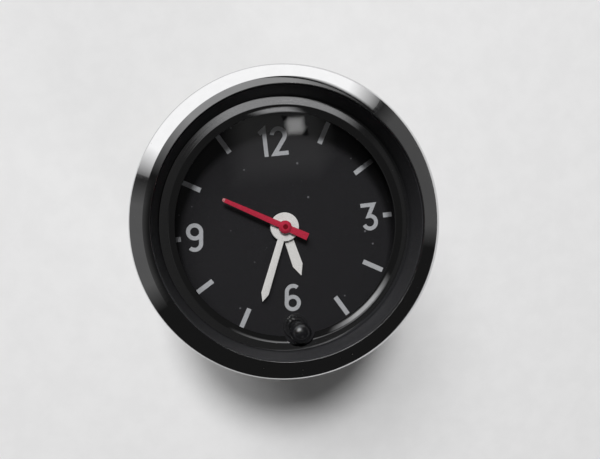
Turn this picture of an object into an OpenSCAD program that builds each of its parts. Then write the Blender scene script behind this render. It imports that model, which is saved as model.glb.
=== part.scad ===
// Dashboard clock for a round panel hole: chromed bezel, black reveal, domed lens, dial with three hands,
// push-and-turn setting knob, and a balance-driven movement in a drawn steel can.
// Millimetres. Z = 0 is the face of the dash panel that the bezel seats on, +Z looks out of the dial and
// +Y points to twelve o'clock.

/* [Case] */
// Outer diameter of the can, which passes through the panel hole
case_d = 60; // [58:0.5:64]
// Sheet thickness of the can
case_wall = 0.8; // [0.6:0.1:1]
// Depth of the can behind the panel face
case_depth = 37; // [36.5:0.5:42]
// How far the ring at the mouth of the can stands out past its wall
case_flange_w = 1.3; // [1:0.1:1.4]
// Inside radius of the can's rear corner
case_corner = 1.6; // [1:0.1:2.5]

/* [Bezel] */
// How far the bezel reaches past the can's wall
bezel_overhang = 2.25; // [2.2:0.05:4]
// Sheet thickness of the bezel
bezel_sheet = 0.7; // [0.5:0.05:0.75]
// Height of the bezel's upright rim above the panel
bezel_rim_h = 2.4; // [2.2:0.1:3]
// Edge radius of the upright rim
bezel_rim_round = 0.4; // [0.2:0.05:0.6]
// Radial width of the broad polished facet
main_facet_w = 2.85; // [2.4:0.05:3]
// Rise of the broad polished facet
main_facet_h = 2.2; // [1.8:0.05:2.8]
// Radial width of the narrow inner facet
inner_facet_w = 1.55; // [1.3:0.05:2]
// Rise of the narrow inner facet
inner_facet_h = 0.8; // [0.5:0.05:1.2]

/* [Lens] */
// How far inside the can's wall the clear face of the lens ends
lens_inset = 4.2; // [4:0.1:6]
// How far the edge of that face lies below the panel face
lens_drop = 0.6; // [0.3:0.05:1]
// Radius of the lens's dome
lens_dome_r = 260; // [220:10:400]
// Thickness of the lens
lens_t = 1.6; // [1.2:0.1:1.8]
// Width and height of the bevel round the face
lens_bevel = [1.2, 0.8];
// Thickness of the flange that the lens is clamped by
lens_flange_t = 1.2; // [1:0.1:1.6]
// Thickness of the rubber ring under the lens
gasket_t = 0.7; // [0.5:0.1:1.2]

/* [Dial] */
// Depth of the dial's face below the panel face
dial_drop = 7; // [6.5:0.1:9]
// Thickness of the dial
dial_t = 0.8; // [0.5:0.1:1.2]
// Thickness of the printed marks
print_t = 0.05; // [0.03:0.01:0.1]
// Gap between the outer ends of the hour marks and the edge of the lens's clear face
mark_gap = 0.3; // [0.2:0.05:2]
// Length of a full hour mark
mark_len = 4.95; // [4:0.05:5.5]
// Length of the short marks beside the three and the nine
short_mark_len = 2; // [1:0.1:3]
// Width of an hour mark
mark_w = 1.05; // [0.6:0.05:1.4]
// Height of the numerals
numeral_h = 6.15; // [5:0.05:7]
// Width of a round numeral
numeral_w = 3.7; // [3.2:0.1:4.6]
// Stroke of the numerals
numeral_stroke = 0.88; // [0.6:0.02:1.2]
// Gap between the twelve and the ring of the marks' outer ends
twelve_gap = 3.1; // [0.5:0.05:4]
// Gap between the three or the nine and its short mark
three_gap = 1.3; // [0.4:0.05:2]
// Gap between the six and the knob's collar
six_gap = 0.7; // [0.2:0.05:3]

/* [Hands] */
// Minutes and seconds that the hands show at rest, after five o'clock
rest_time = [33.9, 50];
// Length of the minute hand
minute_len = 17.1; // [15:0.1:18.5]
// Width of the minute hand
minute_w = 1.7; // [1.2:0.1:2.2]
// Length of the hour hand
hour_len = 11.4; // [9:0.1:13]
// Width of the hour hand
hour_w = 2.3; // [1.6:0.1:3]
// Length of the second hand
second_len = 14.7; // [12:0.1:18]
// Length of its tail
second_tail = 5.4; // [4:0.1:7]
// Diameter of the hour and minute hands' round bosses
hand_boss_d = 6.3; // [5:0.1:7]
// Sheet thickness of the hands
hand_t = 0.3; // [0.2:0.05:0.4]

/* [Setting knob] */
// How far inside the lens's clear edge the knob's axis lies, towards six o'clock
knob_inset = 2.5; // [2.3:0.1:3.5]
// Diameter of the knob's dome
knob_d = 4.6; // [3.6:0.1:4.8]
// How far the knob pushes in
knob_travel = 1; // [0.6:0.1:1.1]
// Diameter of the knob's shank
shank_d = 3; // [2.4:0.1:3.2]
// Diameter of the collar that guides the shank at the dial
collar_d = 5.6; // [4.6:0.1:6]

/* [Movement] */
// Space between the dial and the movement's front plate
motion_gap = 4; // [3.9:0.1:4.6]
// Thickness of the two movement plates
plate_t = 1.5; // [1.2:0.1:2]
// Space between the two movement plates
train_gap = 9.2; // [9.1:0.1:11]
// Gap between the movement plates and the can's wall
plate_gap = 2.7; // [1.5:0.1:3]
// Tooth size (module) of the wheels under the dial
motion_module = 0.4; // [0.38:0.01:0.42]
// Tooth size (module) of the centre wheel
centre_module = 0.3; // [0.28:0.01:0.32]
// Tooth size (module) of the seconds wheel
seconds_module = 0.36; // [0.35:0.01:0.4]
// Diameter of the balance wheel
balance_d = 15.2; // [14:0.2:16]
// Wall clearance of a turning shaft in its hole
run_clear = 0.05; // [0.03:0.01:0.08]
// Wall clearance of a fixed piece in its seat
seat_clear = 0.02; // [0.01:0.01:0.05]

/* [Rear fittings] */
// Distance between the two mounting studs
stud_spacing = 34; // [30:1:36]
// Diameter of a mounting stud
stud_d = 4; // [3:0.5:5]
// How far studs, blades and lamp holder stand out behind the can
rear_reach = 13; // [11:0.5:18]
// Width of a blade terminal
blade_w = 6.3; // [4.8:0.1:6.3]
// Distance between the two blade terminals
blade_spacing = 12; // [10:0.5:16]
// Diameter of the lamp holder's barrel
lamp_d = 11; // [9:0.5:11.5]

/* [Hidden] */
$fn = 96;

// Case, bezel and reveal ring
case_r = case_d / 2;
case_in_r = case_r - case_wall;
bezel_r = case_r + bezel_overhang;
flange_r = case_r + case_flange_w;
flange_top = bezel_sheet + case_wall;
back_out = -case_depth;
back_in = back_out + case_wall;
facet_r = bezel_r - bezel_rim_round / 2;
crest_r = facet_r - main_facet_w;
crest_z = bezel_rim_h + main_facet_h;
lip_r = crest_r - inner_facet_w;
lip_z = crest_z + inner_facet_h;
lip_gap = 0.3;
neck_step = 0.4;
neck_r = case_r - neck_step;

// Lens stack, with the play of each ring inside the can
lens_play = 0.6;
spacer_play = 0.2;
ring_play = 0.3;
lens_r = case_in_r - lens_inset;
lens_foot_r = lens_r + lens_bevel[0];
lens_out_r = case_in_r - lens_play;
lens_seat_z = -lens_drop - lens_bevel[1];
lens_base_z = lens_seat_z - lens_flange_t;
lens_dome_z = -lens_drop - sqrt(pow(lens_dome_r, 2) - pow(lens_r, 2));
gasket_z = lens_base_z - gasket_t;
ring_in_r = lens_foot_r + 1.1;
ring_out_r = case_in_r - spacer_play;
reveal_foot_r = lens_foot_r + 0.15;
reveal_out_r = case_in_r - ring_play;
reveal_top_r = lip_r + 0.7;

// Dial, movement plates and rear, from front to back
dial_z = -dial_drop;
dial_back = dial_z - dial_t;
dial_r = case_in_r - ring_play;
knob_r = lens_r - knob_inset;
mark_outer_r = lens_r - mark_gap;
twelve_r = mark_outer_r - twelve_gap - numeral_h / 2;
three_r = mark_outer_r - short_mark_len - three_gap - numeral_w / 2;
six_r = knob_r - collar_d / 2 - six_gap - numeral_h / 2;
front_z = dial_back - motion_gap;
front_back = front_z - plate_t;
rear_z = front_back - train_gap;
rear_back = rear_z - plate_t;
plate_r = case_in_r - plate_gap;
rest_z = back_out - rear_reach;

// Hand levels: each hand's sheet starts at its level
hour_level = dial_z + 0.3;
minute_level = hour_level + hand_t + 0.5;
second_level = minute_level + hand_t + 0.7;
minute_angle = 6 * rest_time[0];
hour_angle = 150 + rest_time[0] / 2;
second_angle = 6 * rest_time[1];

// Shafts through the centre, each running in the next
seconds_shaft_r = 0.45;
tube_in_r = seconds_shaft_r + run_clear;
tube_r = tube_in_r + 0.35;
cannon_in_r = tube_r + run_clear;
cannon_r = cannon_in_r + 0.5;
hour_pipe_in_r = cannon_r + run_clear;
hour_pipe_r = hour_pipe_in_r + 0.45;
dial_hole_r = hour_pipe_r + 0.5;

// Tooth counts: cannon to minute wheel and minute pinion to hour wheel give one turn in twelve
cannon_n = 10;
minute_wheel_n = 30;
minute_pinion_n = 8;
hour_wheel_n = 32;
setting_n = 10;
// Centre wheel to third pinion and third wheel to seconds pinion give sixty turns in one
centre_n = 60;
third_pinion_n = 8;
third_n = 64;
seconds_pinion_n = 8;
seconds_n = 48;
index_pinion_n = 8;
index_n = 25;

// Arbor places
minute_post = [0, -motion_module * (cannon_n + minute_wheel_n) / 2];
stem_at = [0, -knob_r];
// Setting wheel with just enough teeth to reach from the stem's pinion to the minute wheel
idler_slack = 1.1;
idler_n = ceil((2 * idler_slack * (knob_r + minute_post[1]) / motion_module - setting_n - minute_wheel_n) / 2);
idler_at = third_corner(stem_at, minute_post,
    motion_module * (setting_n + idler_n) / 2, motion_module * (idler_n + minute_wheel_n) / 2);
third_angle = 150;
third_dist = centre_module * (centre_n + third_pinion_n) / 2;
third_at = polar(third_dist, third_angle);
third_module = 2 * third_dist / (third_n + seconds_pinion_n);
index_angle = 20;
index_at = polar(seconds_module * (seconds_n + index_pinion_n) / 2, index_angle);
index_r = 4;
balance_at = index_at + polar(index_r + 2.9, 60);
cock_foot_r = 2.6;
cock_foot = balance_at + polar(balance_d / 2 + cock_foot_r + 0.4, 100);

// Wheel levels under the dial, measured up from the front plate
minute_wheel_z = front_z + 0.6;
minute_wheel_t = 0.7;
cannon_foot = front_z + 0.5;
cannon_top = front_z + 1.6;
hour_wheel_z = cannon_top + 0.3;
hour_wheel_t = 0.7;
setting_pinion_t = 0.8;
setting_pinion_z = minute_wheel_z + minute_wheel_t + 0.4;
post_r = 0.7;
post_head_r = 1.1;
post_head_t = 0.35;

// Wheel levels between the plates, measured down from the front plate's back
centre_wheel_z = front_back - 1.3;
third_pinion_z = front_back - 1.7;
third_wheel_z = front_back - 4.8;
seconds_pinion_z = front_back - 5.3;
seconds_wheel_z = front_back - 7.3;
index_pinion_z = front_back - 7.6;
index_wheel_z = rear_z + 0.4;
wheel_t = 0.6;
thin_wheel_t = 0.4;
pivot_r = 0.35;

// Balance, behind the rear plate
coil_t = 1.9;
magnet_t = 0.8;
magnet_r = 1.4;
magnet_orbit = 4.3;
coil_at = balance_at + polar(magnet_orbit, -80);
magnet_z = rear_back - coil_t - 0.3;
balance_z = magnet_z - magnet_t;
balance_t = 0.8;
balance_rim_w = 1.6;
staff_r = 0.5;
hairspring_z = balance_z - balance_t - 1.3;
hairspring_h = 0.4;
hairspring_in_r = 1.25;
hairspring_turns = 7;
hairspring_pitch = 0.5;
hairspring_t = 0.1;
hairspring_out_r = hairspring_in_r + hairspring_turns * hairspring_pitch;
cock_z = hairspring_z - 1.4;
cock_t = 1.2;
cock_boss_r = 2.4;
cock_arm_w = 3.6;
hairspring_stud_r = 0.4;
stud_at = balance_at + [hairspring_out_r + hairspring_stud_r + 0.1, 0];

// Fasteners
pillar_angles = [85, 205, 325];
pillar_dist = plate_r - 3;
pillar_r = 1.75;
standoff_r = 2.2;
small_screw_r = 0.8;
small_head_r = 1.5;
small_head_t = 0.9;
case_screw_r = 1.25;
case_head_r = 2.8;
case_head_t = 1.4;
case_screw_grip = 5;
stud_r = stud_d / 2;
stud_root_r = stud_r + 0.5;
nut_t = 1.6 * stud_root_r;
nut_r = 1.85 * stud_root_r;

// Circuit board behind the rear plate, in the lower half
board_r = pillar_dist - standoff_r - 0.8;
board_top_y = -4;
board_stand = 2;
board_t = 1.2;
board_z = rear_back - board_stand;
board_back = board_z - board_t;
spacer_places = [[-13, -7], [13, -7]];
spacer_r = 1.8;

// Terminals and lamp at the rear
blade_inset = 14.2;
blade_y = blade_inset - case_in_r;
blade_places = [[-blade_spacing / 2, blade_y], [blade_spacing / 2, blade_y]];
blade_t = 0.8;
block_t = 2;
rivet_r = 1.2;
boss_r = rivet_r + 1.2;
lamp_inset = 9.5;
lamp_at = polar(case_in_r - lamp_inset, 120.5);
lamp_r = lamp_d / 2;
lamp_flange_t = 1.2;
bulb_r = lamp_r - 1.5;

// Setting stem levels
stem_r = 0.8;
shank_r = shank_d / 2;
knob_under = lens_top(knob_r - knob_d / 2) + knob_travel + 0.12;
knob_ball_r = knob_d / 2 + 0.05;
stem_tip = front_back - 1.9;
clip_t = 0.5;
clip_groove_r = 0.55;
clip_z = front_back - 0.05 - clip_t;
leaf_t = 0.25;
leaf_w = 2;
leaf_pad_r = 1.2;
leaf_foot_r = 2;
leaf_z = stem_tip - run_clear;
leaf_screw_at = stem_at + [9.5, 3.5];

// Points and places
function polar(r, a) = [r * cos(a), r * sin(a)];
function bearing(p, q) = atan2(q.y - p.y, q.x - p.x);

// Corner of a triangle on the line p to q, at distance a from p and b from q, to the right of the line
function third_corner(p, q, a, b) =
    let (d = norm(q - p), along = (a * a - b * b + d * d) / (2 * d), side = sqrt(a * a - along * along))
    p + polar(along, bearing(p, q)) + polar(side, bearing(p, q) - 90);

// Height of the lens's outer face at a radius
function lens_top(r) = lens_dome_z + sqrt(pow(lens_dome_r, 2) - r * r);

// Gear teeth: involute flanks, thinned for backlash
tooth_angle = 20;
tooth_addendum = 0.8;
tooth_dedendum = 1.3;
tooth_thinning = 0.04;
function involute_turn(r, base_r) =
    r <= base_r ? 0 : let (a = acos(base_r / r)) tan(a) * 180 / PI - a;
function flank_radii(n, m) =
    let (pitch_r = n * m / 2, root_r = pitch_r - tooth_dedendum * m)
    [root_r, max(pitch_r * cos(tooth_angle), (root_r + pitch_r) / 2), pitch_r + tooth_addendum * m];
function half_tooth(n, m, r) =
    let (pitch_r = n * m / 2, base_r = pitch_r * cos(tooth_angle))
    90 / n - tooth_thinning / pitch_r * 180 / PI + involute_turn(pitch_r, base_r) - involute_turn(r, base_r);
function gear_outline(n, m, phase) =
    let (radii = flank_radii(n, m))
    [for (k = [0:n - 1])
        let (middle = phase + 360 * k / n)
        each concat(
            [for (r = radii) polar(r, middle - half_tooth(n, m, r))],
            [for (i = [2:-1:0]) polar(radii[i], middle + half_tooth(n, m, radii[i]))])];

// Phase of a gear of n2 teeth that meshes with one of n1 teeth, seen from the first at bearing b
function mesh_phase(b, phase1, n1, n2) = b + 180 - (0.5 - (b - phase1) * n1 / 360) * 360 / n2;

minute_wheel_phase = mesh_phase(bearing([0, 0], minute_post), 0, cannon_n, minute_wheel_n);
hour_wheel_phase = mesh_phase(bearing(minute_post, [0, 0]), 0, minute_pinion_n, hour_wheel_n);
idler_phase = mesh_phase(bearing(minute_post, idler_at), minute_wheel_phase, minute_wheel_n, idler_n);
setting_phase = mesh_phase(bearing(idler_at, stem_at), idler_phase, idler_n, setting_n);
third_pinion_phase = mesh_phase(third_angle, 0, centre_n, third_pinion_n);
seconds_pinion_phase = mesh_phase(third_angle + 180, 0, third_n, seconds_pinion_n);
index_pinion_phase = mesh_phase(index_angle, 0, seconds_n, index_pinion_n);

// Plain shapes on a vertical axis
module rod(r, z0, z1) {
    translate([0, 0, z0]) cylinder(r = r, h = z1 - z0);
}
module bore(r, z0, z1) {
    rod(r, z0 - 0.1, z1 + 0.1);
}
module tube(r_out, r_in, z0, z1) {
    difference() {
        rod(r_out, z0, z1);
        bore(r_in, z0, z1);
    }
}
module at(p) {
    translate([p.x, p.y, 0]) children();
}
module at_pillars() {
    for (a = pillar_angles) at(polar(pillar_dist, a)) children();
}

// A straight flat strip of width w from p to q
module strip(p, q, w, z0, z1) {
    translate([p.x, p.y, z0]) rotate(bearing(p, q)) translate([0, -w / 2, 0]) cube([norm(q - p), w, z1 - z0]);
}

module toothed(n, m, phase, z, t) {
    translate([0, 0, z]) linear_extrude(t) polygon(gear_outline(n, m, phase));
}

// A wheel whose disc is cut out between four spokes
module spoked(n, m, phase, z, t, hub_r) {
    rim_r = n * m / 2 - 3.2 * m;
    spoke_w = 3 * m;
    translate([0, 0, z]) linear_extrude(t) difference() {
        polygon(gear_outline(n, m, phase));
        difference() {
            circle(r = rim_r);
            circle(r = hub_r + m);
            for (a = [0, 90]) rotate(a) square([2 * rim_r + 1, spoke_w], center = true);
        }
    }
}

// Bezel: sheet ring, rolled under the can's flange at the back
module bezel() color("gainsboro") rotate_extrude() polygon(concat(
    [[case_r + lip_gap, 0], [bezel_r - bezel_rim_round, 0]],
    [for (a = [-75:15:0]) [bezel_r - bezel_rim_round, bezel_rim_round] + polar(bezel_rim_round, a)],
    [[bezel_r, bezel_rim_h - bezel_rim_round], [facet_r, bezel_rim_h], [crest_r, crest_z], [lip_r, lip_z]],
    [[lip_r, lip_z - bezel_sheet], [crest_r - bezel_sheet / 3, crest_z - bezel_sheet],
     [bezel_r - bezel_sheet, bezel_rim_h - bezel_sheet], [bezel_r - bezel_sheet, bezel_sheet],
     [case_r + lip_gap, bezel_sheet]]));

// Reveal: black funnel from the bezel's lip down to the lens, flanged onto the mouth of the can
module reveal_ring() color("#202022") rotate_extrude() polygon([
    [reveal_foot_r, lens_seat_z], [reveal_out_r, lens_seat_z], [reveal_out_r, flange_top],
    [flange_r - 0.2, flange_top], [flange_r - 0.2, flange_top + 0.4], [reveal_out_r, flange_top + 0.9],
    [reveal_top_r, lip_z - bezel_sheet - 0.3 - (reveal_top_r - lip_r) * inner_facet_h / inner_facet_w],
    [lip_r - 0.1, lip_z - bezel_sheet - 0.15]]);

// Lens: clear dome with a bevelled edge and a flange, holed for the knob's shank
module lens() color("azure", 0.35) difference() {
    union() {
        intersection() {
            translate([0, 0, lens_dome_z]) sphere(r = lens_dome_r, $fn = 360);
            rotate_extrude() polygon([[0, lens_base_z], [lens_foot_r, lens_base_z],
                [lens_foot_r, lens_seat_z], [lens_r, -lens_drop], [lens_r, 3], [0, 3]]);
        }
        rod(lens_out_r, lens_base_z, lens_seat_z);
    }
    intersection() {
        translate([0, 0, lens_dome_z]) sphere(r = lens_dome_r - lens_t, $fn = 360);
        rod(lens_r + 0.3, lens_base_z - 0.1, 3);
    }
    at(stem_at) bore(shank_r + 0.3, lens_base_z, 3);
}

module lens_gasket() color("#181818") tube(lens_out_r, ring_in_r, gasket_z, lens_base_z);

module dial_spacer() color("#1c1c1e") tube(ring_out_r, ring_in_r, dial_z, gasket_z);

// Dial: black plate on three feet riveted into the front plate
dial_feet = [[-15, -9], [15, -9], [0, 17]];
dial_foot_r = 1;
module dial() color("#26262a") difference() {
    union() {
        rod(dial_r, dial_back, dial_z);
        for (p = dial_feet) at(p) rod(dial_foot_r, front_back, dial_back);
    }
    bore(dial_hole_r, dial_back, dial_z);
    at(stem_at) bore(collar_d / 2 - 0.8, dial_back, dial_z);
}

// Hour marks at every hour but twelve and six, short beside the three and the nine
module hour_marks() color("lightgray") translate([0, 0, dial_z]) linear_extrude(print_t)
    for (hour = [1:11]) if (hour != 6) {
        mark = hour % 3 == 0 ? short_mark_len : mark_len;
        rotate(-30 * hour) translate([-mark_w / 2, mark_outer_r - mark]) square([mark_w, mark]);
    }

// Numerals: each is a band of one stroke along its centre line, drawn about its own middle
function arc_points(middle, r, from, to, steps) =
    [for (i = [0:steps]) middle + polar(r, from + (to - from) * i / steps)];
function unit(v) = v / norm(v);
function side_step(path, i) =
    let (last = len(path) - 1,
        before = unit(path[max(i, 1)] - path[max(i, 1) - 1]),
        after = unit(path[min(i, last - 1) + 1] - path[min(i, last - 1)]),
        across = unit([-before.y - after.y, before.x + after.x]))
    across / (across * [-before.y, before.x]);
module band(path) translate([0, 0, dial_z]) linear_extrude(print_t) polygon(concat(
    [for (i = [0:len(path) - 1]) path[i] + side_step(path, i) * numeral_stroke / 2],
    [for (i = [len(path) - 1:-1:0]) path[i] - side_step(path, i) * numeral_stroke / 2]));
line_r = (numeral_w - numeral_stroke) / 2;
line_h = (numeral_h - numeral_stroke) / 2;
round_steps = 24;
module one() band([[-numeral_stroke * 1.3, line_h - numeral_stroke * 0.85],
    [0, line_h + numeral_stroke * 0.1], [0, -numeral_h / 2]]);
module two() band(concat(
    arc_points([0, line_h - line_r], line_r, 172, -32, round_steps),
    [[-line_r + numeral_stroke * 0.25, -line_h], [numeral_w / 2, -line_h]]));
module three() band(concat(
    [[-numeral_w / 2, line_h], [line_r - numeral_stroke * 0.35, line_h]],
    arc_points([0, line_r - line_h], line_r, 98, -160, round_steps)));
six_lean = 0.35;
module six() {
    crook = [six_lean, line_h - line_r];
    at([0, line_r - line_h]) tube(numeral_w / 2, numeral_w / 2 - numeral_stroke, dial_z, dial_z + print_t);
    band(concat(
        arc_points(crook, line_r, 40, 172, round_steps),
        [[-line_r + 0.02, line_r - line_h]]));
}
module numerals() color("lightgray") {
    at([-numeral_w * 0.54, twelve_r]) one();
    at([numeral_w * 0.28, twelve_r]) two();
    at([three_r, 0]) three();
    at([0, -six_r]) six();
    at([-three_r, 0]) rotate(180) six();
}

// Collar: eyelet in the dial that guides the knob's shank
module stem_collar() color("#1a1a1c") at(stem_at) rotate_extrude() polygon([
    [shank_r + run_clear, dial_back - 0.3], [collar_d / 2 - 0.85, dial_back - 0.3],
    [collar_d / 2 - 0.85, dial_z], [collar_d / 2, dial_z], [collar_d / 2, dial_z + 0.6],
    [collar_d / 2 - 0.35, dial_z + 0.95], [shank_r + run_clear, dial_z + 0.95]]);

// Hands point to twelve in their own outline and are turned to the time at rest
module blade(width, length, point) polygon([[-width * 0.42, 0], [-width / 2, length - point], [0, length],
    [width / 2, length - point], [width * 0.42, 0]]);
module hour_hand() color("whitesmoke") rotate(-hour_angle) difference() {
    union() {
        translate([0, 0, hour_level]) linear_extrude(hand_t) blade(hour_w, hour_len, hour_w * 1.1);
        rod(hand_boss_d / 2, hour_level, hour_level + hand_t);
    }
    bore(hour_pipe_r + seat_clear, hour_level, hour_level + hand_t);
}
module minute_hand() color("whitesmoke") rotate(-minute_angle) difference() {
    union() {
        translate([0, 0, minute_level]) linear_extrude(hand_t) blade(minute_w, minute_len, minute_w * 1.1);
        rod(hand_boss_d / 2, minute_level, minute_level + hand_t);
    }
    bore(cannon_r + seat_clear, minute_level, minute_level + hand_t);
}
second_w = 1.4;
second_hub_r = 1.4;
module second_hand() color("crimson") rotate(-second_angle) difference() {
    union() {
        translate([0, 0, second_level]) linear_extrude(hand_t) {
            polygon([[-second_w / 2, 0], [-0.4, second_len], [0.4, second_len], [second_w / 2, 0],
                [second_w * 0.58, -second_tail], [-second_w * 0.58, -second_tail]]);
            circle(r = second_hub_r);
        }
        rod(second_hub_r * 0.7, second_level - 0.4, second_level + hand_t + 0.25);
    }
    bore(seconds_shaft_r + seat_clear, second_level - 0.4, second_level + hand_t + 0.25);
}

// Wheels under the dial
module cannon_pinion() color("goldenrod") difference() {
    union() {
        toothed(cannon_n, motion_module, 0, cannon_foot, cannon_top - cannon_foot);
        rod(cannon_r, cannon_top - 0.1, minute_level + hand_t + 0.1);
    }
    bore(cannon_in_r, cannon_foot, minute_level + hand_t + 0.1);
}
module hour_wheel() color("goldenrod") difference() {
    union() {
        toothed(hour_wheel_n, motion_module, hour_wheel_phase, hour_wheel_z, hour_wheel_t);
        rod(hour_pipe_r, hour_wheel_z, hour_level + hand_t);
    }
    bore(hour_pipe_in_r, hour_wheel_z, hour_level + hand_t);
}
minute_pinion_top = hour_wheel_z + hour_wheel_t + 0.1;
module minute_wheel() color("goldenrod") at(minute_post) difference() {
    union() {
        toothed(minute_wheel_n, motion_module, minute_wheel_phase, minute_wheel_z, minute_wheel_t);
        toothed(minute_pinion_n, motion_module, 0, minute_wheel_z, minute_pinion_top - minute_wheel_z);
    }
    bore(post_r + run_clear, minute_wheel_z, minute_pinion_top);
}
module setting_wheel() color("goldenrod") at(idler_at) difference() {
    toothed(idler_n, motion_module, idler_phase, minute_wheel_z, minute_wheel_t);
    bore(post_r + run_clear, minute_wheel_z, minute_wheel_z + minute_wheel_t);
}
// Headed posts, pressed into the front plate, that the minute wheel and the setting wheel turn on
module wheel_post(top) {
    rod(post_r, front_back, top + 0.15);
    rod(post_head_r, top + 0.15, top + 0.15 + post_head_t);
    rod(post_head_r + 0.2, front_z, minute_wheel_z - 0.15);
}
module motion_posts() color("silver") {
    at(minute_post) wheel_post(minute_pinion_top);
    at(idler_at) wheel_post(minute_wheel_z + minute_wheel_t);
}

// Going train between the plates
module centre_wheel() color("goldenrod") difference() {
    union() {
        spoked(centre_n, centre_module, 0, centre_wheel_z, wheel_t, 1.8);
        rod(1.8, centre_wheel_z - wheel_t, front_back - 0.2);
        rod(tube_r, centre_wheel_z - wheel_t, minute_level - 0.2);
    }
    bore(tube_in_r, centre_wheel_z - wheel_t, minute_level);
}
module arbor(r, z_rear, z_front) {
    rod(r, rear_z + 0.2, front_back - 0.2);
    rod(pivot_r, z_rear, z_front);
}
module third_arbor() color("silver") at(third_at) {
    arbor(0.5, rear_back + 0.3, front_z - 0.3);
    toothed(third_pinion_n, centre_module, third_pinion_phase, third_pinion_z, 1.3);
}
third_hub_r = 1.6;
module third_wheel() color("goldenrod") at(third_at) difference() {
    union() {
        spoked(third_n, third_module, 0, third_wheel_z, wheel_t, third_hub_r);
        rod(third_hub_r, third_wheel_z - wheel_t, third_wheel_z + 2 * wheel_t);
    }
    bore(0.5 + seat_clear, third_wheel_z - wheel_t, third_wheel_z + 2 * wheel_t);
}
module seconds_arbor() color("silver") {
    rod(seconds_shaft_r, rear_back + 0.3, second_level + hand_t + 0.2);
    toothed(seconds_pinion_n, third_module, seconds_pinion_phase, seconds_pinion_z, 1.6);
}
seconds_hub_r = 1.6;
module seconds_wheel() color("goldenrod") difference() {
    union() {
        spoked(seconds_n, seconds_module, 0, seconds_wheel_z, wheel_t, seconds_hub_r);
        rod(seconds_hub_r, seconds_wheel_z - wheel_t, seconds_wheel_z + 2 * wheel_t);
    }
    bore(seconds_shaft_r + seat_clear, seconds_wheel_z - wheel_t, seconds_wheel_z + 2 * wheel_t);
}
index_arbor_r = 0.45;
module index_arbor() color("silver") at(index_at) arbor(index_arbor_r, rear_back + 0.3, front_z - 0.3);
// Index wheel: saw teeth that the balance pushes round one at a time, moulded with its pinion
module index_wheel() color("ivory") at(index_at) difference() {
    union() {
        translate([0, 0, index_wheel_z]) linear_extrude(thin_wheel_t) polygon([for (k = [0:index_n - 1])
            each [polar(index_r - 0.6, 360 * k / index_n), polar(index_r, 360 * (k + 0.85) / index_n)]]);
        rod(index_arbor_r + 0.6, index_wheel_z, index_pinion_z + 0.1);
        toothed(index_pinion_n, seconds_module, index_pinion_phase, index_pinion_z, 1.2);
    }
    bore(index_arbor_r + seat_clear, index_wheel_z, index_pinion_z + 1.2);
}

// Balance: staff with impulse roller, rim with two magnets that swing over a coil, flat spiral spring
roller_r = 1.9;
module balance_staff() color("silver") at(balance_at) {
    rod(staff_r, cock_z + 0.2, front_back - 0.2);
    rod(pivot_r, cock_z - cock_t + 0.3, front_z - 0.3);
    rod(roller_r, index_wheel_z - 0.1, index_wheel_z + thin_wheel_t + 0.1);
    rod(hairspring_in_r - hairspring_t, hairspring_z - 0.3, hairspring_z + hairspring_h + 0.3);
    at(polar(roller_r + 0.3, 200)) rod(0.3, index_wheel_z - 0.1, index_wheel_z + thin_wheel_t + 0.1);
}
module balance_wheel() color("goldenrod") at(balance_at) difference() {
    union() {
        tube(balance_d / 2, balance_d / 2 - balance_rim_w, balance_z - balance_t, balance_z);
        rotate(-80) translate([0, 0, balance_z - balance_t / 2])
            cube([balance_d - balance_rim_w, 2 * magnet_r + 0.8, balance_t], center = true);
        rod(staff_r + 1.1, balance_z - balance_t - 0.4, balance_z + 0.4);
    }
    bore(staff_r + seat_clear, balance_z - balance_t - 0.4, balance_z + 0.4);
}
module balance_magnets() color("dimgray") at(balance_at)
    for (a = [-80, 100]) at(polar(magnet_orbit, a)) rod(magnet_r, balance_z, magnet_z);
function spiral(offset) = [for (i = [0:24 * hairspring_turns])
    polar(hairspring_in_r + hairspring_pitch * i / 24 + offset, 15 * i)];
module hairspring() color("steelblue") at(balance_at) translate([0, 0, hairspring_z])
    linear_extrude(hairspring_h) polygon(concat(spiral(hairspring_t / 2),
        [for (i = [24 * hairspring_turns:-1:0]) spiral(-hairspring_t / 2)[i]]));
module hairspring_stud() color("silver") at(stud_at)
    rod(hairspring_stud_r, cock_z, hairspring_z + hairspring_h + 0.2);
// Cock: bridge that carries the balance's rear pivot, on a foot screwed to the rear plate
module balance_cock() color("goldenrod") difference() {
    union() {
        at(balance_at) rod(cock_boss_r, cock_z - cock_t, cock_z);
        at(cock_foot) rod(cock_foot_r, cock_z - cock_t, rear_back);
        strip(balance_at, cock_foot, cock_arm_w, cock_z - cock_t, cock_z);
        strip(balance_at, stud_at + [hairspring_stud_r + 0.5, 0], cock_boss_r, cock_z - cock_t, cock_z);
    }
    at(balance_at) bore(pivot_r + run_clear, cock_z - cock_t, cock_z);
    at(cock_foot) bore(small_screw_r + run_clear, cock_z - cock_t, rear_back);
}
bobbin_r = 2.9;
bobbin_cheek = 0.4;
module coil_bobbin() color("wheat") at(coil_at) {
    rod(bobbin_r, rear_back - bobbin_cheek, rear_back);
    rod(1.1, rear_back - coil_t, rear_back);
    rod(bobbin_r, rear_back - coil_t, rear_back - coil_t + bobbin_cheek);
}
module coil_winding() color("chocolate") at(coil_at)
    tube(bobbin_r - 0.3, 1.1 + seat_clear, rear_back - coil_t + bobbin_cheek, rear_back - bobbin_cheek);

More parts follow.
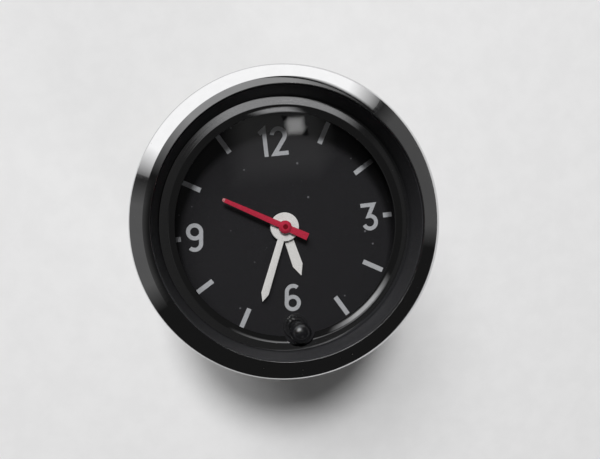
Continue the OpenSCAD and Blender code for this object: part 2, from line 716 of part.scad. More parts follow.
// Plates
light_window_r = bulb_r + 0.4;
module front_plate() color("darkkhaki") difference() {
    rod(plate_r, front_back, front_z);
    bore(tube_r + run_clear, front_back, front_z);
    for (p = [third_at, index_at, balance_at]) at(p) bore(pivot_r + run_clear, front_back, front_z);
    for (p = [minute_post, idler_at]) at(p) bore(post_r + seat_clear, front_back, front_z);
    for (p = dial_feet) at(p) bore(dial_foot_r + seat_clear, front_back, front_z);
    at(stem_at) bore(stem_r + run_clear, front_back, front_z);
    at(leaf_screw_at) bore(small_screw_r + run_clear, front_back, front_z);
    at_pillars() bore(small_screw_r + run_clear, front_back, front_z);
    at(lamp_at) bore(light_window_r, front_back, front_z);
}
module back_plate() color("darkkhaki") difference() {
    rod(plate_r, rear_back, rear_z);
    bore(seconds_shaft_r + run_clear, rear_back, rear_z);
    for (p = [third_at, index_at]) at(p) bore(pivot_r + run_clear, rear_back, rear_z);
    at(balance_at) bore(staff_r + 1, rear_back, rear_z);
    for (p = concat(spacer_places, [cock_foot])) at(p) bore(small_screw_r + run_clear, rear_back, rear_z);
    at_pillars() bore(small_screw_r + run_clear, rear_back, rear_z);
    at(lamp_at) bore(light_window_r, rear_back, rear_z);
}
screw_depth = 3;
module plate_pillars() color("silver") at_pillars() difference() {
    rod(pillar_r, rear_z, front_back);
    bore(small_screw_r + run_clear, front_back - screw_depth - 0.2, front_back);
    bore(small_screw_r + run_clear, rear_z, rear_z + screw_depth);
}
// Standoffs: screwed through the rear plate into the pillars, tapped at the back for the case screws
module rear_standoffs() color("silver") at_pillars() difference() {
    union() {
        rod(standoff_r, back_in, rear_back);
        rod(small_screw_r, rear_back - 0.1, rear_z + screw_depth - 0.2);
    }
    bore(case_screw_r + run_clear, back_in, back_in + case_screw_grip + 1);
}
// Small screws, all alike: front of the pillars, leaf spring, cock and circuit board
module small_screw(seat, up) translate([0, 0, seat]) mirror([0, 0, up ? 0 : 1]) difference() {
    union() {
        cylinder(r = small_head_r, h = small_head_t);
        translate([0, 0, -plate_t - screw_depth + 0.4]) cylinder(r = small_screw_r, h = plate_t + screw_depth);
    }
    translate([-small_head_r - 1, -0.2, small_head_t - 0.35]) cube([2 * small_head_r + 2, 0.4, 1]);
}
module movement_screws() color("silver") {
    at_pillars() small_screw(front_z, true);
    at(leaf_screw_at) small_screw(leaf_z - leaf_t, false);
    at(cock_foot) small_screw(cock_z - cock_t, false);
    for (p = spacer_places) at(p) small_screw(board_back, false);
}

// Circuit board with its parts
lead_r = 0.25;
lead_end = 0.4;
part_lift = 0.3;
module circuit_board() color("peru") difference() {
    intersection() {
        rod(board_r, board_back, board_z);
        translate([-board_r, -2 * board_r + board_top_y, board_back]) cube([2 * board_r, 2 * board_r, board_t]);
    }
    for (p = spacer_places) at(p) bore(small_screw_r + run_clear, board_back, board_z);
    for (p = blade_places) at(p) bore(rivet_r * 0.45 + seat_clear, board_back, board_z);
    for (p = transistor_leads) at(transistor_at + p) bore(lead_r + seat_clear, board_back, board_z);
    for (p = [capacitor_at, resistor_places[0], resistor_places[1]], s = [-1, 1])
        at(p + [s * (p == capacitor_at ? capacitor_span : resistor_span) / 2, 0])
            bore(lead_r + seat_clear, board_back, board_z);
}
module board_spacers() color("silver") for (p = spacer_places) at(p)
    tube(spacer_r, small_screw_r + run_clear, board_z, rear_back);
transistor_at = [-blade_spacing / 2 - 4, 7.5 - board_r];
transistor_r = 2.35;
transistor_h = 5;
transistor_leads = [polar(transistor_r / 2, 90), polar(transistor_r / 2, 210), polar(transistor_r / 2, 330)];
module transistor() color("gainsboro") at(transistor_at) {
    rod(transistor_r, board_back - part_lift - transistor_h, board_back - part_lift);
    rod(transistor_r + 0.4, board_back - part_lift - 0.6, board_back - part_lift);
    for (p = transistor_leads) at(p) rod(lead_r, board_back - part_lift - 0.1, board_z + lead_end);
}
// A part lying along X over the board, on bent leads through it
module axial_part(body_r, body_len, span) translate([0, 0, board_back - body_r - part_lift]) {
    rotate([0, 90, 0]) cylinder(r = body_r, h = body_len, center = true);
    rotate([0, 90, 0]) cylinder(r = lead_r, h = span, center = true);
    for (s = [-1, 1]) translate([s * span / 2, 0, 0]) {
        sphere(r = lead_r);
        cylinder(r = lead_r, h = body_r + part_lift + board_t + lead_end);
    }
}
capacitor_at = [0, -9.2];
capacitor_r = 2.4;
capacitor_len = 10;
capacitor_span = capacitor_len + 3;
module capacitor() color("steelblue") at(capacitor_at) axial_part(capacitor_r, capacitor_len, capacitor_span);
resistor_r = 0.9;
resistor_len = 5;
resistor_span = resistor_len + 3;
resistor_places = [[blade_spacing / 2 + 5, 7.5 - board_r], [0, 2.1 - board_r]];
module resistors() color("sienna") for (p = resistor_places) at(p) axial_part(resistor_r, resistor_len, resistor_span);
module lead_wires() color("firebrick") for (p = blade_places) at(p) {
    rod(rivet_r * 0.45, back_in + 1.2, board_z + lead_end);
    rod(rivet_r * 0.8, back_in + 1.4, board_back - 0.6);
}

// Setting knob and its stem: pushing it in meshes the pinion with the setting wheel
module setting_knob() color("#141416") at(stem_at) difference() {
    intersection() {
        translate([0, 0, knob_under]) sphere(r = knob_ball_r);
        rod(knob_ball_r + 1, knob_under, knob_under + knob_ball_r + 1);
    }
    bore(stem_r + seat_clear, knob_under, knob_under + 1.3);
}
module setting_stem() color("#1a1a1c") at(stem_at) difference() {
    union() {
        rod(shank_r, dial_back - 0.9, knob_under);
        rod(stem_r, stem_tip, knob_under + 1.3);
    }
    tube(stem_r + 0.2, clip_groove_r, clip_z - 0.05, clip_z + clip_t + 0.05);
}
module setting_pinion() color("goldenrod") at(stem_at) difference() {
    toothed(setting_n, motion_module, setting_phase, setting_pinion_z, setting_pinion_t);
    bore(stem_r + seat_clear, setting_pinion_z, setting_pinion_z + setting_pinion_t);
}
module stem_clip() color("silver") at(stem_at)
    tube(stem_r + 1, clip_groove_r + run_clear, clip_z, clip_z + clip_t);
// Return leaf: flat spring on a bent foot, bearing on the stem's rear end
module return_leaf() color("darkgoldenrod") difference() {
    union() {
        at(stem_at) rod(leaf_pad_r, leaf_z - leaf_t, leaf_z);
        strip(stem_at, leaf_screw_at, leaf_w, leaf_z - leaf_t, leaf_z);
        at(leaf_screw_at) rod(leaf_foot_r, leaf_z - leaf_t, front_back);
    }
    at(leaf_screw_at) bore(small_screw_r + run_clear, leaf_z - leaf_t, front_back);
}

// Can: drawn cup, with a flat ring welded round its mouth for the bezel to grip
module case_can() color("silver") difference() {
    rotate_extrude() polygon(concat(
        [[0, back_out]],
        [for (a = [-90:15:0]) [case_r - case_corner, back_out + case_corner] + polar(case_corner, a)],
        [[case_r, 0], [case_in_r, 0]],
        [for (a = [0:-15:-90]) [case_r - case_corner, back_out + case_corner]
            + polar(case_corner - case_wall, a)],
        [[0, back_in]]));
    at_pillars() bore(case_screw_r + run_clear, back_out, back_in);
    for (s = [-1, 1]) at([s * stud_spacing / 2, 0]) bore(stud_root_r + seat_clear, back_out, back_in);
    for (p = blade_places) at(p) bore(boss_r + seat_clear, back_out, back_in);
    at(lamp_at) bore(lamp_r + seat_clear, back_out, back_in);
}
module case_flange() color("silver") {
    tube(neck_r, case_in_r, 0, bezel_sheet);
    tube(flange_r, case_in_r, bezel_sheet, flange_top);
}
module case_screws() color("silver") at_pillars() difference() {
    union() {
        rod(case_head_r, back_out - case_head_t, back_out);
        rod(case_screw_r, back_out - 0.1, back_in + case_screw_grip);
    }
    translate([-case_head_r - 1, -0.35, back_out - case_head_t - 1]) cube([2 * case_head_r + 2, 0.7, 1.6]);
}
// Stepped studs: a thick root held by a nut, and a free end for the clamp bracket
stud_head_r = stud_root_r + 1.2;
stud_head_t = 1.5;
module mounting_studs() color("silver") for (s = [-1, 1]) at([s * stud_spacing / 2, 0]) {
    rod(stud_r, rest_z, back_out - nut_t);
    rod(stud_root_r, back_out - nut_t, back_in + 0.1);
    rod(stud_head_r, back_in, back_in + stud_head_t);
}
module stud_nuts() color("silver") for (s = [-1, 1]) at([s * stud_spacing / 2, 0]) difference() {
    translate([0, 0, back_out - nut_t]) cylinder(r = nut_r, h = nut_t, $fn = 6);
    bore(stud_root_r + seat_clear, back_out - nut_t, back_out);
}
// Terminal block with two blades, each riveted through an insulating boss
block_w = blade_spacing + blade_w + 4;
block_d = 9;
module terminal_block() color("#3a2a1e") difference() {
    union() {
        translate([-block_w / 2, blade_y - block_d / 2, back_out - block_t])
            cube([block_w, block_d, block_t]);
        for (p = blade_places) at(p) rod(boss_r, back_out - 0.1, back_in + 0.8);
    }
    for (p = blade_places) at(p) bore(rivet_r + seat_clear, back_out - block_t, back_in + 0.8);
}
module terminal_blades() color("goldenrod") for (p = blade_places) at(p) difference() {
    union() {
        translate([-blade_w / 2, -3, back_out - block_t - blade_t]) cube([blade_w, 6, blade_t]);
        translate([-blade_w / 2, 3 - blade_t, rest_z]) cube([blade_w, blade_t, -rest_z + back_out - block_t]);
    }
    bore(rivet_r + seat_clear, back_out - block_t - blade_t, back_out - block_t);
    translate([0, 3 + blade_t, rest_z + 4]) rotate([90, 0, 0]) cylinder(d = 1.6, h = 3 * blade_t);
}
module terminal_rivets() color("silver") for (p = blade_places) at(p) difference() {
    union() {
        rod(rivet_r, back_out - block_t - blade_t - 0.1, back_in + 1);
        rod(rivet_r + 0.7, back_out - block_t - blade_t - 0.8, back_out - block_t - blade_t);
        rod(rivet_r + 0.7, back_in + 0.8, back_in + 1.4);
    }
    bore(rivet_r * 0.45 + seat_clear, back_in + 1.2, back_in + 1.6);
}
// Lamp holder, pushed in from the back, and its bulb, which lights the dial from behind its edge
bulb_seat = back_in + 0.6;
bulb_base_h = 6;
module lamp_holder() color("#e8e4d8") at(lamp_at) difference() {
    union() {
        rod(lamp_r, back_out - 0.1, back_in + 5);
        rod(lamp_r + 1.5, back_out - lamp_flange_t, back_out);
        rod(lamp_r - 0.5, rest_z, back_out);
    }
    rod(bulb_r + seat_clear, bulb_seat, back_in + 6);
}
module lamp_bulb() color("lightyellow", 0.6) at(lamp_at) {
    rod(bulb_r, bulb_seat, bulb_seat + bulb_base_h);
    translate([0, 0, bulb_seat + bulb_base_h + bulb_r * 0.6]) sphere(r = bulb_r);
}

bezel();
reveal_ring();
lens();
lens_gasket();
dial_spacer();
dial();
hour_marks();
numerals();
stem_collar();
hour_hand();
minute_hand();
second_hand();
cannon_pinion();
hour_wheel();
minute_wheel();
setting_wheel();
motion_posts();
centre_wheel();
third_arbor();
third_wheel();
seconds_arbor();
seconds_wheel();
index_arbor();
index_wheel();
balance_staff();
balance_wheel();
balance_magnets();
hairspring();
hairspring_stud();
balance_cock();
coil_bobbin();
coil_winding();
front_plate();
back_plate();
plate_pillars();
rear_standoffs();
movement_screws();
circuit_board();
board_spacers();
transistor();
capacitor();
resistors();
lead_wires();
setting_knob();
setting_stem();
setting_pinion();
stem_clip();
return_leaf();
case_can();
case_flange();
case_screws();
mounting_studs();
stud_nuts();
terminal_block();
terminal_blades();
terminal_rivets();
lamp_holder();
lamp_bulb();
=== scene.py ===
import math

import bmesh
import bpy
from mathutils import Matrix, Vector


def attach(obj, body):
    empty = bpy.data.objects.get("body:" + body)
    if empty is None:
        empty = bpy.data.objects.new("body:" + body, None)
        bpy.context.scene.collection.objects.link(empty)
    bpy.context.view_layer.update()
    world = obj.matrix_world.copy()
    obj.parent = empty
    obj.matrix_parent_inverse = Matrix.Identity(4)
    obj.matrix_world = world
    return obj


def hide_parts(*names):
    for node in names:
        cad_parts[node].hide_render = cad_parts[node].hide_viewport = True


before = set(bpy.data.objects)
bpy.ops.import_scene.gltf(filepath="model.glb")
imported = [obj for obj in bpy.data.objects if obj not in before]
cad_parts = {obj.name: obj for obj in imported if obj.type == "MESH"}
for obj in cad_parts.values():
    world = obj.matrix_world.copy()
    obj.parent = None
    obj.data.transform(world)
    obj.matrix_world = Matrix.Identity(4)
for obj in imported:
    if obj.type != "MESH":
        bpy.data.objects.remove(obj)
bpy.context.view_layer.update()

# Can: a cup drawn from thin sheet steel and zinc plated, with a flat ring welded round its mouth.
# The bezel is rolled over that ring, and the flat back carries the studs, the terminals and the lamp.
mm = 0.001
segments = 256
can_r = 30.0
can_wall = 0.8
can_back = -37.0
can_corner_r = 1.6
can_inner_r = can_r - can_wall
mouth_fillet = 0.1
bead_z = -6.5
bead_half = 0.6
bead_run = 1.2
bead_depth = 0.35
bead_fillet = 0.3
inner_bead_run = 2.0
inner_bead_depth = 0.3


def rounded_outline(corners):
    """Outline in millimetres through (radius, height, fillet) corners, each fillet drawn as a short arc."""
    outline = []
    for i, (r, z, fillet) in enumerate(corners):
        here = Vector((r, z))
        if not fillet:
            outline.append((r, z))
            continue
        before = (Vector(corners[i - 1][:2]) - here).normalized()
        after = (Vector(corners[(i + 1) % len(corners)][:2]) - here).normalized()
        half = before.angle(after) / 2
        middle = here + (before + after).normalized() * (fillet / math.sin(half))
        start = here + before * (fillet / math.tan(half)) - middle
        end = here + after * (fillet / math.tan(half)) - middle
        turn = start.angle_signed(end)
        steps = max(3, int(abs(turn) / math.radians(9)))
        for k in range(steps + 1):
            angle = -turn * k / steps
            spin = Matrix.Rotation(angle, 2)
            outline.append(tuple(middle + spin @ start))
    return outline


def new_piece(name, mesh, sharp_degrees=28):
    """Object of a finished mesh, smooth but for the edges sharper than the angle given."""
    for face in mesh.polygons:
        face.use_smooth = True
    mesh.set_sharp_from_angle(angle=math.radians(sharp_degrees))
    piece = bpy.data.objects.new(name, mesh)
    bpy.context.collection.objects.link(piece)
    return piece


def turned_mesh(name, outline, centre=(0.0, 0.0), closed=True, steps=segments):
    """Mesh of an outline of (radius, height) points in millimetres, turned about an upright axis."""
    work = bmesh.new()
    rings = []
    for r, z in outline:
        if r < 1e-6:
            rings.append([work.verts.new((centre[0] * mm, centre[1] * mm, z * mm))])
            continue
        ring = []
        for k in range(steps):
            angle = 2 * math.pi * k / steps
            ring.append(work.verts.new(((centre[0] + r * math.cos(angle)) * mm,
                                        (centre[1] + r * math.sin(angle)) * mm, z * mm)))
        rings.append(ring)
    pairs = list(zip(rings, rings[1:]))
    if closed:
        pairs.append((rings[-1], rings[0]))
    for low, high in pairs:
        for k in range(steps):
            n = (k + 1) % steps
            loop = [low[k % len(low)], low[n % len(low)], high[n % len(high)], high[k % len(high)]]
            loop = list(dict.fromkeys(loop))
            if len(loop) > 2:
                work.faces.new(loop)
    bmesh.ops.recalc_face_normals(work, faces=work.faces)
    mesh = bpy.data.meshes.new(name)
    work.to_mesh(mesh)
    work.free()
    return mesh


def turned(name, outline, **how):
    return new_piece(name, turned_mesh(name, outline, **how))


def effect(name, inputs, outputs):
    """Empty shader node group with the named number inputs and outputs."""
    tree = bpy.data.node_groups.new(name, "ShaderNodeTree")
    for label, value in inputs.items():
        socket = tree.interface.new_socket(label, in_out="INPUT", socket_type="NodeSocketFloat")
        socket.default_value = value
    for label in outputs:
        tree.interface.new_socket(label, in_out="OUTPUT", socket_type="NodeSocketFloat")
    return tree, tree.nodes.new("NodeGroupInput").outputs, tree.nodes.new("NodeGroupOutput").inputs


def feed(tree, socket, value):
    """Sets a socket to a plain number or colour, or links it to another node's output."""
    if isinstance(value, bpy.types.NodeSocket):
        tree.links.new(value, socket)
    else:
        socket.default_value = value


def calc(tree, operation, *values, clamp=False):
    node = tree.nodes.new("ShaderNodeMath")
    node.operation = operation
    node.use_clamp = clamp
    for socket, value in zip(node.inputs, values):
        feed(tree, socket, value)
    return node.outputs[0]


def in_steps_of(tree, size):
    """Place on the piece, counted in steps of a size in millimetres."""
    place = tree.nodes.new("ShaderNodeTexCoord").outputs["Object"]
    scale = tree.nodes.new("ShaderNodeVectorMath")
    scale.operation = "SCALE"
    tree.links.new(place, scale.inputs[0])
    feed(tree, scale.inputs["Scale"], calc(tree, "DIVIDE", 1 / mm, size))
    return scale.outputs[0]


def clouds(tree, place, detail, roughness=0.55):
    noise = tree.nodes.new("ShaderNodeTexNoise")
    noise.inputs["Scale"].default_value = 1.0
    noise.inputs["Detail"].default_value = detail
    noise.inputs["Roughness"].default_value = roughness
    tree.links.new(place, noise.inputs["Vector"])
    return noise.outputs[0]


def spread(tree, value, low, high, to_low=0.0, to_high=1.0):
    node = tree.nodes.new("ShaderNodeMapRange")
    node.interpolation_type = "SMOOTHSTEP"
    for label, number in (("Value", value), ("From Min", low), ("From Max", high),
                          ("To Min", to_low), ("To Max", to_high)):
        feed(tree, node.inputs[label], number)
    return node.outputs[0]


# The grain of rolled sheet, moulded plastic and paint: fine even clouds.
grain, given, made = effect("fine grain", {"Size": 0.3}, ["Mask"])
feed(grain, made["Mask"], spread(grain, clouds(grain, in_steps_of(grain, given["Size"]), 5.0), 0.28, 0.72))

# Finger marks and stains: broad patches with torn edges.
smudges, given, made = effect("smudges", {"Size": 8.0}, ["Mask"])
broad = clouds(smudges, in_steps_of(smudges, given["Size"]), 3.0)
torn = clouds(smudges, in_steps_of(smudges, calc(smudges, "MULTIPLY", given["Size"], 0.21)), 6.0, 0.7)
feed(smudges, made["Mask"], calc(smudges, "MULTIPLY", spread(smudges, broad, 0.4, 0.7),
                                 spread(smudges, torn, 0.3, 0.7)))

# Dust and pits: small round specks scattered over a share of the cells of a grid.
specks, given, made = effect("specks", {"Size": 1.0, "Share": 0.1}, ["Mask"])
cells = specks.nodes.new("ShaderNodeTexVoronoi")
cells.inputs["Scale"].default_value = 1.0
specks.links.new(in_steps_of(specks, given["Size"]), cells.inputs["Vector"])
chance = specks.nodes.new("ShaderNodeSeparateColor")
specks.links.new(cells.outputs["Color"], chance.inputs[0])
speck_r = calc(specks, "MULTIPLY_ADD", chance.outputs[1], 0.16, 0.05)
round_speck = spread(specks, cells.outputs["Distance"], speck_r, calc(specks, "MULTIPLY", speck_r, 0.6))
feed(specks, made["Mask"], calc(specks, "MULTIPLY", round_speck,
                                calc(specks, "LESS_THAN", chance.outputs[0], given["Share"])))

# Marks of the lathe: fine rings about the clock's own axis, some deeper than others.
lathe_rings, given, made = effect("lathe rings", {"Pitch": 0.1}, ["Mask"])
spot = lathe_rings.nodes.new("ShaderNodeSeparateXYZ")
lathe_rings.links.new(in_steps_of(lathe_rings, given["Pitch"]), spot.inputs[0])
reach = calc(lathe_rings, "SQRT", calc(lathe_rings, "ADD", calc(lathe_rings, "POWER", spot.outputs[0], 2.0),
                                       calc(lathe_rings, "POWER", spot.outputs[1], 2.0)))
ring_place = lathe_rings.nodes.new("ShaderNodeCombineXYZ")
lathe_rings.links.new(reach, ring_place.inputs[0])
lathe_rings.links.new(spot.outputs[2], ring_place.inputs[2])
ring_clouds = clouds(lathe_rings, ring_place.outputs[0], 2.0)
feed(lathe_rings, made["Mask"], spread(lathe_rings, ring_clouds, 0.3, 0.7))

# Wear: the outer edges of a piece, broken up by clouds.
edge_wear, given, made = effect("edge wear", {"Size": 0.6}, ["Mask"])
edge = spread(edge_wear, edge_wear.nodes.new("ShaderNodeNewGeometry").outputs["Pointiness"], 0.52, 0.62)
patch = spread(edge_wear, clouds(edge_wear, in_steps_of(edge_wear, given["Size"]), 4.0), 0.4, 0.62)
feed(edge_wear, made["Mask"], calc(edge_wear, "MULTIPLY", edge, patch))


def place_effect(tree, group, **values):
    """Mask of a shared effect, placed in a material with its own values."""
    node = tree.nodes.new("ShaderNodeGroup")
    node.node_tree = group
    for label, value in values.items():
        node.inputs[label].default_value = value
    return node.outputs["Mask"]


def blended(tree, mask, low, high):
    """Colour that goes from one to another by a mask."""
    mix = tree.nodes.new("ShaderNodeMix")
    mix.data_type = "RGBA"
    feed(tree, mix.inputs[0], mask)
    feed(tree, mix.inputs[6], low if isinstance(low, bpy.types.NodeSocket) else (*low, 1.0))
    feed(tree, mix.inputs[7], high if isinstance(high, bpy.types.NodeSocket) else (*high, 1.0))
    return mix.outputs[2]


def finish(name, dark, light, rough, grain_mm=0.3, bump_mm=0.004, metallic=0.0, smudge_mm=8.0,
           dust=None, rings_mm=None, worn=None, coat=0.0):
    """Material whose colour runs between two shades with its grain, and whose gloss varies with smudges."""
    material = bpy.data.materials.new(name)
    material.use_nodes = True
    tree = material.node_tree
    shader = tree.nodes["Principled BSDF"]
    shader.inputs["Metallic"].default_value = metallic
    shader.inputs["Coat Weight"].default_value = coat
    relief = place_effect(tree, grain, Size=grain_mm)
    colour = blended(tree, relief, dark, light)
    gloss = place_effect(tree, smudges, Size=smudge_mm)
    roughness = spread(tree, gloss, 0.0, 1.0, rough[0], rough[1])
    if rings_mm:
        relief = calc(tree, "MULTIPLY_ADD", relief, 0.3, place_effect(tree, lathe_rings, Pitch=rings_mm))
    if worn:
        rubbed = place_effect(tree, edge_wear, Size=0.6)
        colour = blended(tree, rubbed, colour, worn)
    if dust:
        dusty = place_effect(tree, specks, Size=dust[0], Share=dust[1])
        colour = blended(tree, dusty, colour, dust[2])
        roughness = calc(tree, "MULTIPLY_ADD", dusty, 0.4, roughness, clamp=True)
    bump = tree.nodes.new("ShaderNodeBump")
    bump.inputs["Strength"].default_value = 0.6
    bump.inputs["Distance"].default_value = bump_mm * mm
    feed(tree, bump.inputs["Height"], relief)
    feed(tree, shader.inputs["Base Color"], colour)
    feed(tree, shader.inputs["Roughness"], roughness)
    feed(tree, shader.inputs["Normal"], bump.outputs[0])
    return material


def dress(material, *nodes):
    """Gives solids of the frame a material, keeping their shape."""
    for node in nodes:
        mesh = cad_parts[node].data
        mesh.materials.clear()
        mesh.materials.append(material)


def soften(width, *nodes):
    """Breaks the sharp edges of solids of the frame."""
    for node in nodes:
        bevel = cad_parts[node].modifiers.new("broken edges", "BEVEL")
        bevel.width = width * mm
        bevel.segments = 2
        bevel.limit_method = "ANGLE"
        bevel.angle_limit = math.radians(35)


zinc_plate = finish("zinc_plated_steel", (0.42, 0.42, 0.41), (0.62, 0.62, 0.60), (0.24, 0.46), grain_mm=1.4,
                    bump_mm=0.004, metallic=1.0, smudge_mm=14.0, dust=(1.8, 0.08, (0.30, 0.27, 0.22)))
can = turned("can_cup", rounded_outline([
    (0, can_back, 0), (can_r, can_back, can_corner_r), (can_r, bead_z - bead_run, bead_fillet),
    (can_r - bead_depth, bead_z - bead_half, bead_fillet),
    (can_r - bead_depth, bead_z + bead_half, bead_fillet),
    (can_r, bead_z + bead_run, bead_fillet), (can_r, 0, mouth_fillet), (can_inner_r, 0, mouth_fillet),
    (can_inner_r, bead_z + inner_bead_run, 0), (can_inner_r - inner_bead_depth, bead_z, 0),
    (can_inner_r, bead_z - inner_bead_run, 0), (can_inner_r, can_back + can_wall, can_corner_r - can_wall),
    (0, can_back + can_wall, 0)]), closed=False)
can.data.materials.append(zinc_plate)
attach(can, "case")
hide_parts("case_can")
dress(zinc_plate, "case_flange")

# Movement: two stamped brass plates on steel pillars, with the train of brass wheels on steel arbors between.
# The plates are lacquered and lightly brushed; arbors and screws are turned from bright steel.
brass_plate = finish("lacquered_brass", (0.50, 0.34, 0.12), (0.72, 0.53, 0.24), (0.22, 0.42), grain_mm=0.5,
                     bump_mm=0.003, metallic=1.0, smudge_mm=6.0, dust=(1.2, 0.05, (0.28, 0.18, 0.08)))
wheel_brass = finish("cut_wheel_brass", (0.60, 0.42, 0.17), (0.78, 0.60, 0.30), (0.18, 0.34), grain_mm=0.15,
                     bump_mm=0.002, metallic=1.0, smudge_mm=3.0, rings_mm=0.12)
bright_steel = finish("turned_bright_steel", (0.50, 0.50, 0.51), (0.68, 0.68, 0.69), (0.16, 0.32),
                      grain_mm=0.12, bump_mm=0.002, metallic=1.0, smudge_mm=3.0)
dress(brass_plate, "front_plate", "back_plate", "balance_cock")
dress(wheel_brass, "cannon_pinion", "hour_wheel", "minute_wheel", "setting_wheel", "centre_wheel",
      "third_wheel", "seconds_wheel", "setting_pinion", "balance_wheel")
dress(bright_steel, "motion_posts", "third_arbor", "seconds_arbor", "index_arbor", "balance_staff",
      "hairspring_stud", "plate_pillars", "rear_standoffs", "movement_screws", "board_spacers", "stem_clip")

# Balance and its drive: a blued spiral spring, two magnets on the balance, and a coil that pushes them.
# The coil is enamelled copper wound on a nylon bobbin; the index wheel is moulded in the same nylon.
blued_steel = finish("blued_spring_steel", (0.05, 0.08, 0.20), (0.10, 0.15, 0.34), (0.20, 0.34), grain_mm=0.2,
                     bump_mm=0.001, metallic=1.0)
magnet_grey = finish("sintered_magnet", (0.10, 0.10, 0.11), (0.20, 0.20, 0.21), (0.40, 0.60), grain_mm=0.1,
                     bump_mm=0.006, metallic=0.6)
nylon = finish("moulded_nylon", (0.70, 0.66, 0.55), (0.82, 0.79, 0.69), (0.34, 0.50), grain_mm=0.4,
               bump_mm=0.004)
enamel_copper = finish("enamelled_copper_wire", (0.34, 0.12, 0.04), (0.62, 0.28, 0.12), (0.22, 0.36),
                       grain_mm=0.12, bump_mm=0.02, metallic=1.0)
spring_bronze = finish("spring_bronze", (0.48, 0.30, 0.14), (0.66, 0.45, 0.24), (0.24, 0.38), grain_mm=0.3,
                       bump_mm=0.002, metallic=1.0)
dress(blued_steel, "hairspring")
dress(magnet_grey, "balance_magnets")
dress(nylon, "index_wheel", "coil_bobbin")
dress(enamel_copper, "coil_winding")
dress(spring_bronze, "return_leaf")

# Circuit: a half-round board of brown paper laminate with one transistor, one capacitor and two resistors.
# Two red leads run from it to the supply blades.
laminate = finish("paper_laminate_board", (0.26, 0.13, 0.05), (0.42, 0.24, 0.10), (0.34, 0.52), grain_mm=0.25,
                  bump_mm=0.006)
tinned_can = finish("tinned_can", (0.58, 0.58, 0.58), (0.74, 0.74, 0.73), (0.22, 0.38), grain_mm=0.3,
                    bump_mm=0.002, metallic=1.0)
blue_sleeve = finish("blue_sleeve", (0.05, 0.13, 0.30), (0.09, 0.20, 0.40), (0.26, 0.42), grain_mm=0.4,
                     bump_mm=0.004)
brown_lacquer = finish("brown_lacquer", (0.28, 0.12, 0.05), (0.42, 0.21, 0.10), (0.22, 0.38), grain_mm=0.3,
                       bump_mm=0.004)
red_sleeve = finish("red_lead_sleeve", (0.36, 0.03, 0.02), (0.52, 0.07, 0.05), (0.34, 0.48), grain_mm=0.3,
                    bump_mm=0.004)
dress(laminate, "circuit_board")
dress(tinned_can, "transistor")
dress(blue_sleeve, "capacitor")
dress(brown_lacquer, "resistors")
dress(red_sleeve, "lead_wires")

# Rear fixings: slotted screws draw the movement to the can, and two stepped studs take the clamp bracket.
# All are zinc plated steel; the studs' free ends carry a cut thread.
stud_places = ((-17.0, 0.0), (17.0, 0.0))
stud_free_r = 2.0
stud_root_r = 2.5
stud_end = -50.0
stud_shoulder = -41.0
stud_head_r = 3.7
stud_head_low = -36.2
stud_head_high = -34.7
thread_pitch = 0.7
thread_depth = 0.32
thread_lead = 0.5
thread_point = 0.82
thread_steps = 48
thread_rows_per_pitch = 10
stud_fillet = 0.2
stud_overlap = 0.05
bright_zinc = finish("bright_zinc", (0.52, 0.53, 0.54), (0.72, 0.73, 0.74), (0.18, 0.36), grain_mm=0.5,
                     bump_mm=0.002, metallic=1.0, smudge_mm=4.0, worn=(0.60, 0.57, 0.50))


def cut_thread(work, centre, r, low, high):
    """Rows of a rod whose radius follows a thread that climbs one pitch in each turn."""
    rows = int((high - low) / thread_pitch * thread_rows_per_pitch)
    last = None
    for j in range(rows + 1):
        z = low + (high - low) * j / rows
        taper = min(1.0, (z - low) / thread_lead)
        ring = []
        for k in range(thread_steps):
            angle = 2 * math.pi * k / thread_steps
            phase = ((z - low) / thread_pitch - k / thread_steps) % 1.0
            groove = abs(2 * phase - 1) * thread_depth
            here = (r - groove) * (thread_point + (1 - thread_point) * taper)
            ring.append(work.verts.new(((centre[0] + here * math.cos(angle)) * mm,
                                        (centre[1] + here * math.sin(angle)) * mm, z * mm)))
        if last:
            for k in range(thread_steps):
                n = (k + 1) % thread_steps
                work.faces.new((last[k], last[n], ring[n], ring[k]))
        else:
            work.faces.new(list(reversed(ring)))
        last = ring
    work.faces.new(last)


stud_work = bmesh.new()
for place in stud_places:
    cut_thread(stud_work, place, stud_free_r, stud_end, stud_shoulder + stud_overlap)
    root = turned_mesh("stud_root", rounded_outline([
        (0, stud_shoulder, 0), (stud_root_r, stud_shoulder, stud_fillet), (stud_root_r, stud_head_low, 0),
        (stud_head_r, stud_head_low, stud_fillet), (stud_head_r, stud_head_high, stud_fillet),
        (0, stud_head_high, 0)]),
        centre=place, closed=False, steps=64)
    stud_work.from_mesh(root)
    bpy.data.meshes.remove(root)
stud_mesh = bpy.data.meshes.new("threaded_studs")
stud_work.to_mesh(stud_mesh)
stud_work.free()
studs = new_piece("threaded_studs", stud_mesh, 40)
studs.data.materials.append(bright_zinc)
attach(studs, "case")
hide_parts("mounting_studs")
dress(bright_zinc, "case_screws", "stud_nuts")
soften(0.3, "stud_nuts")
soften(0.15, "case_screws")

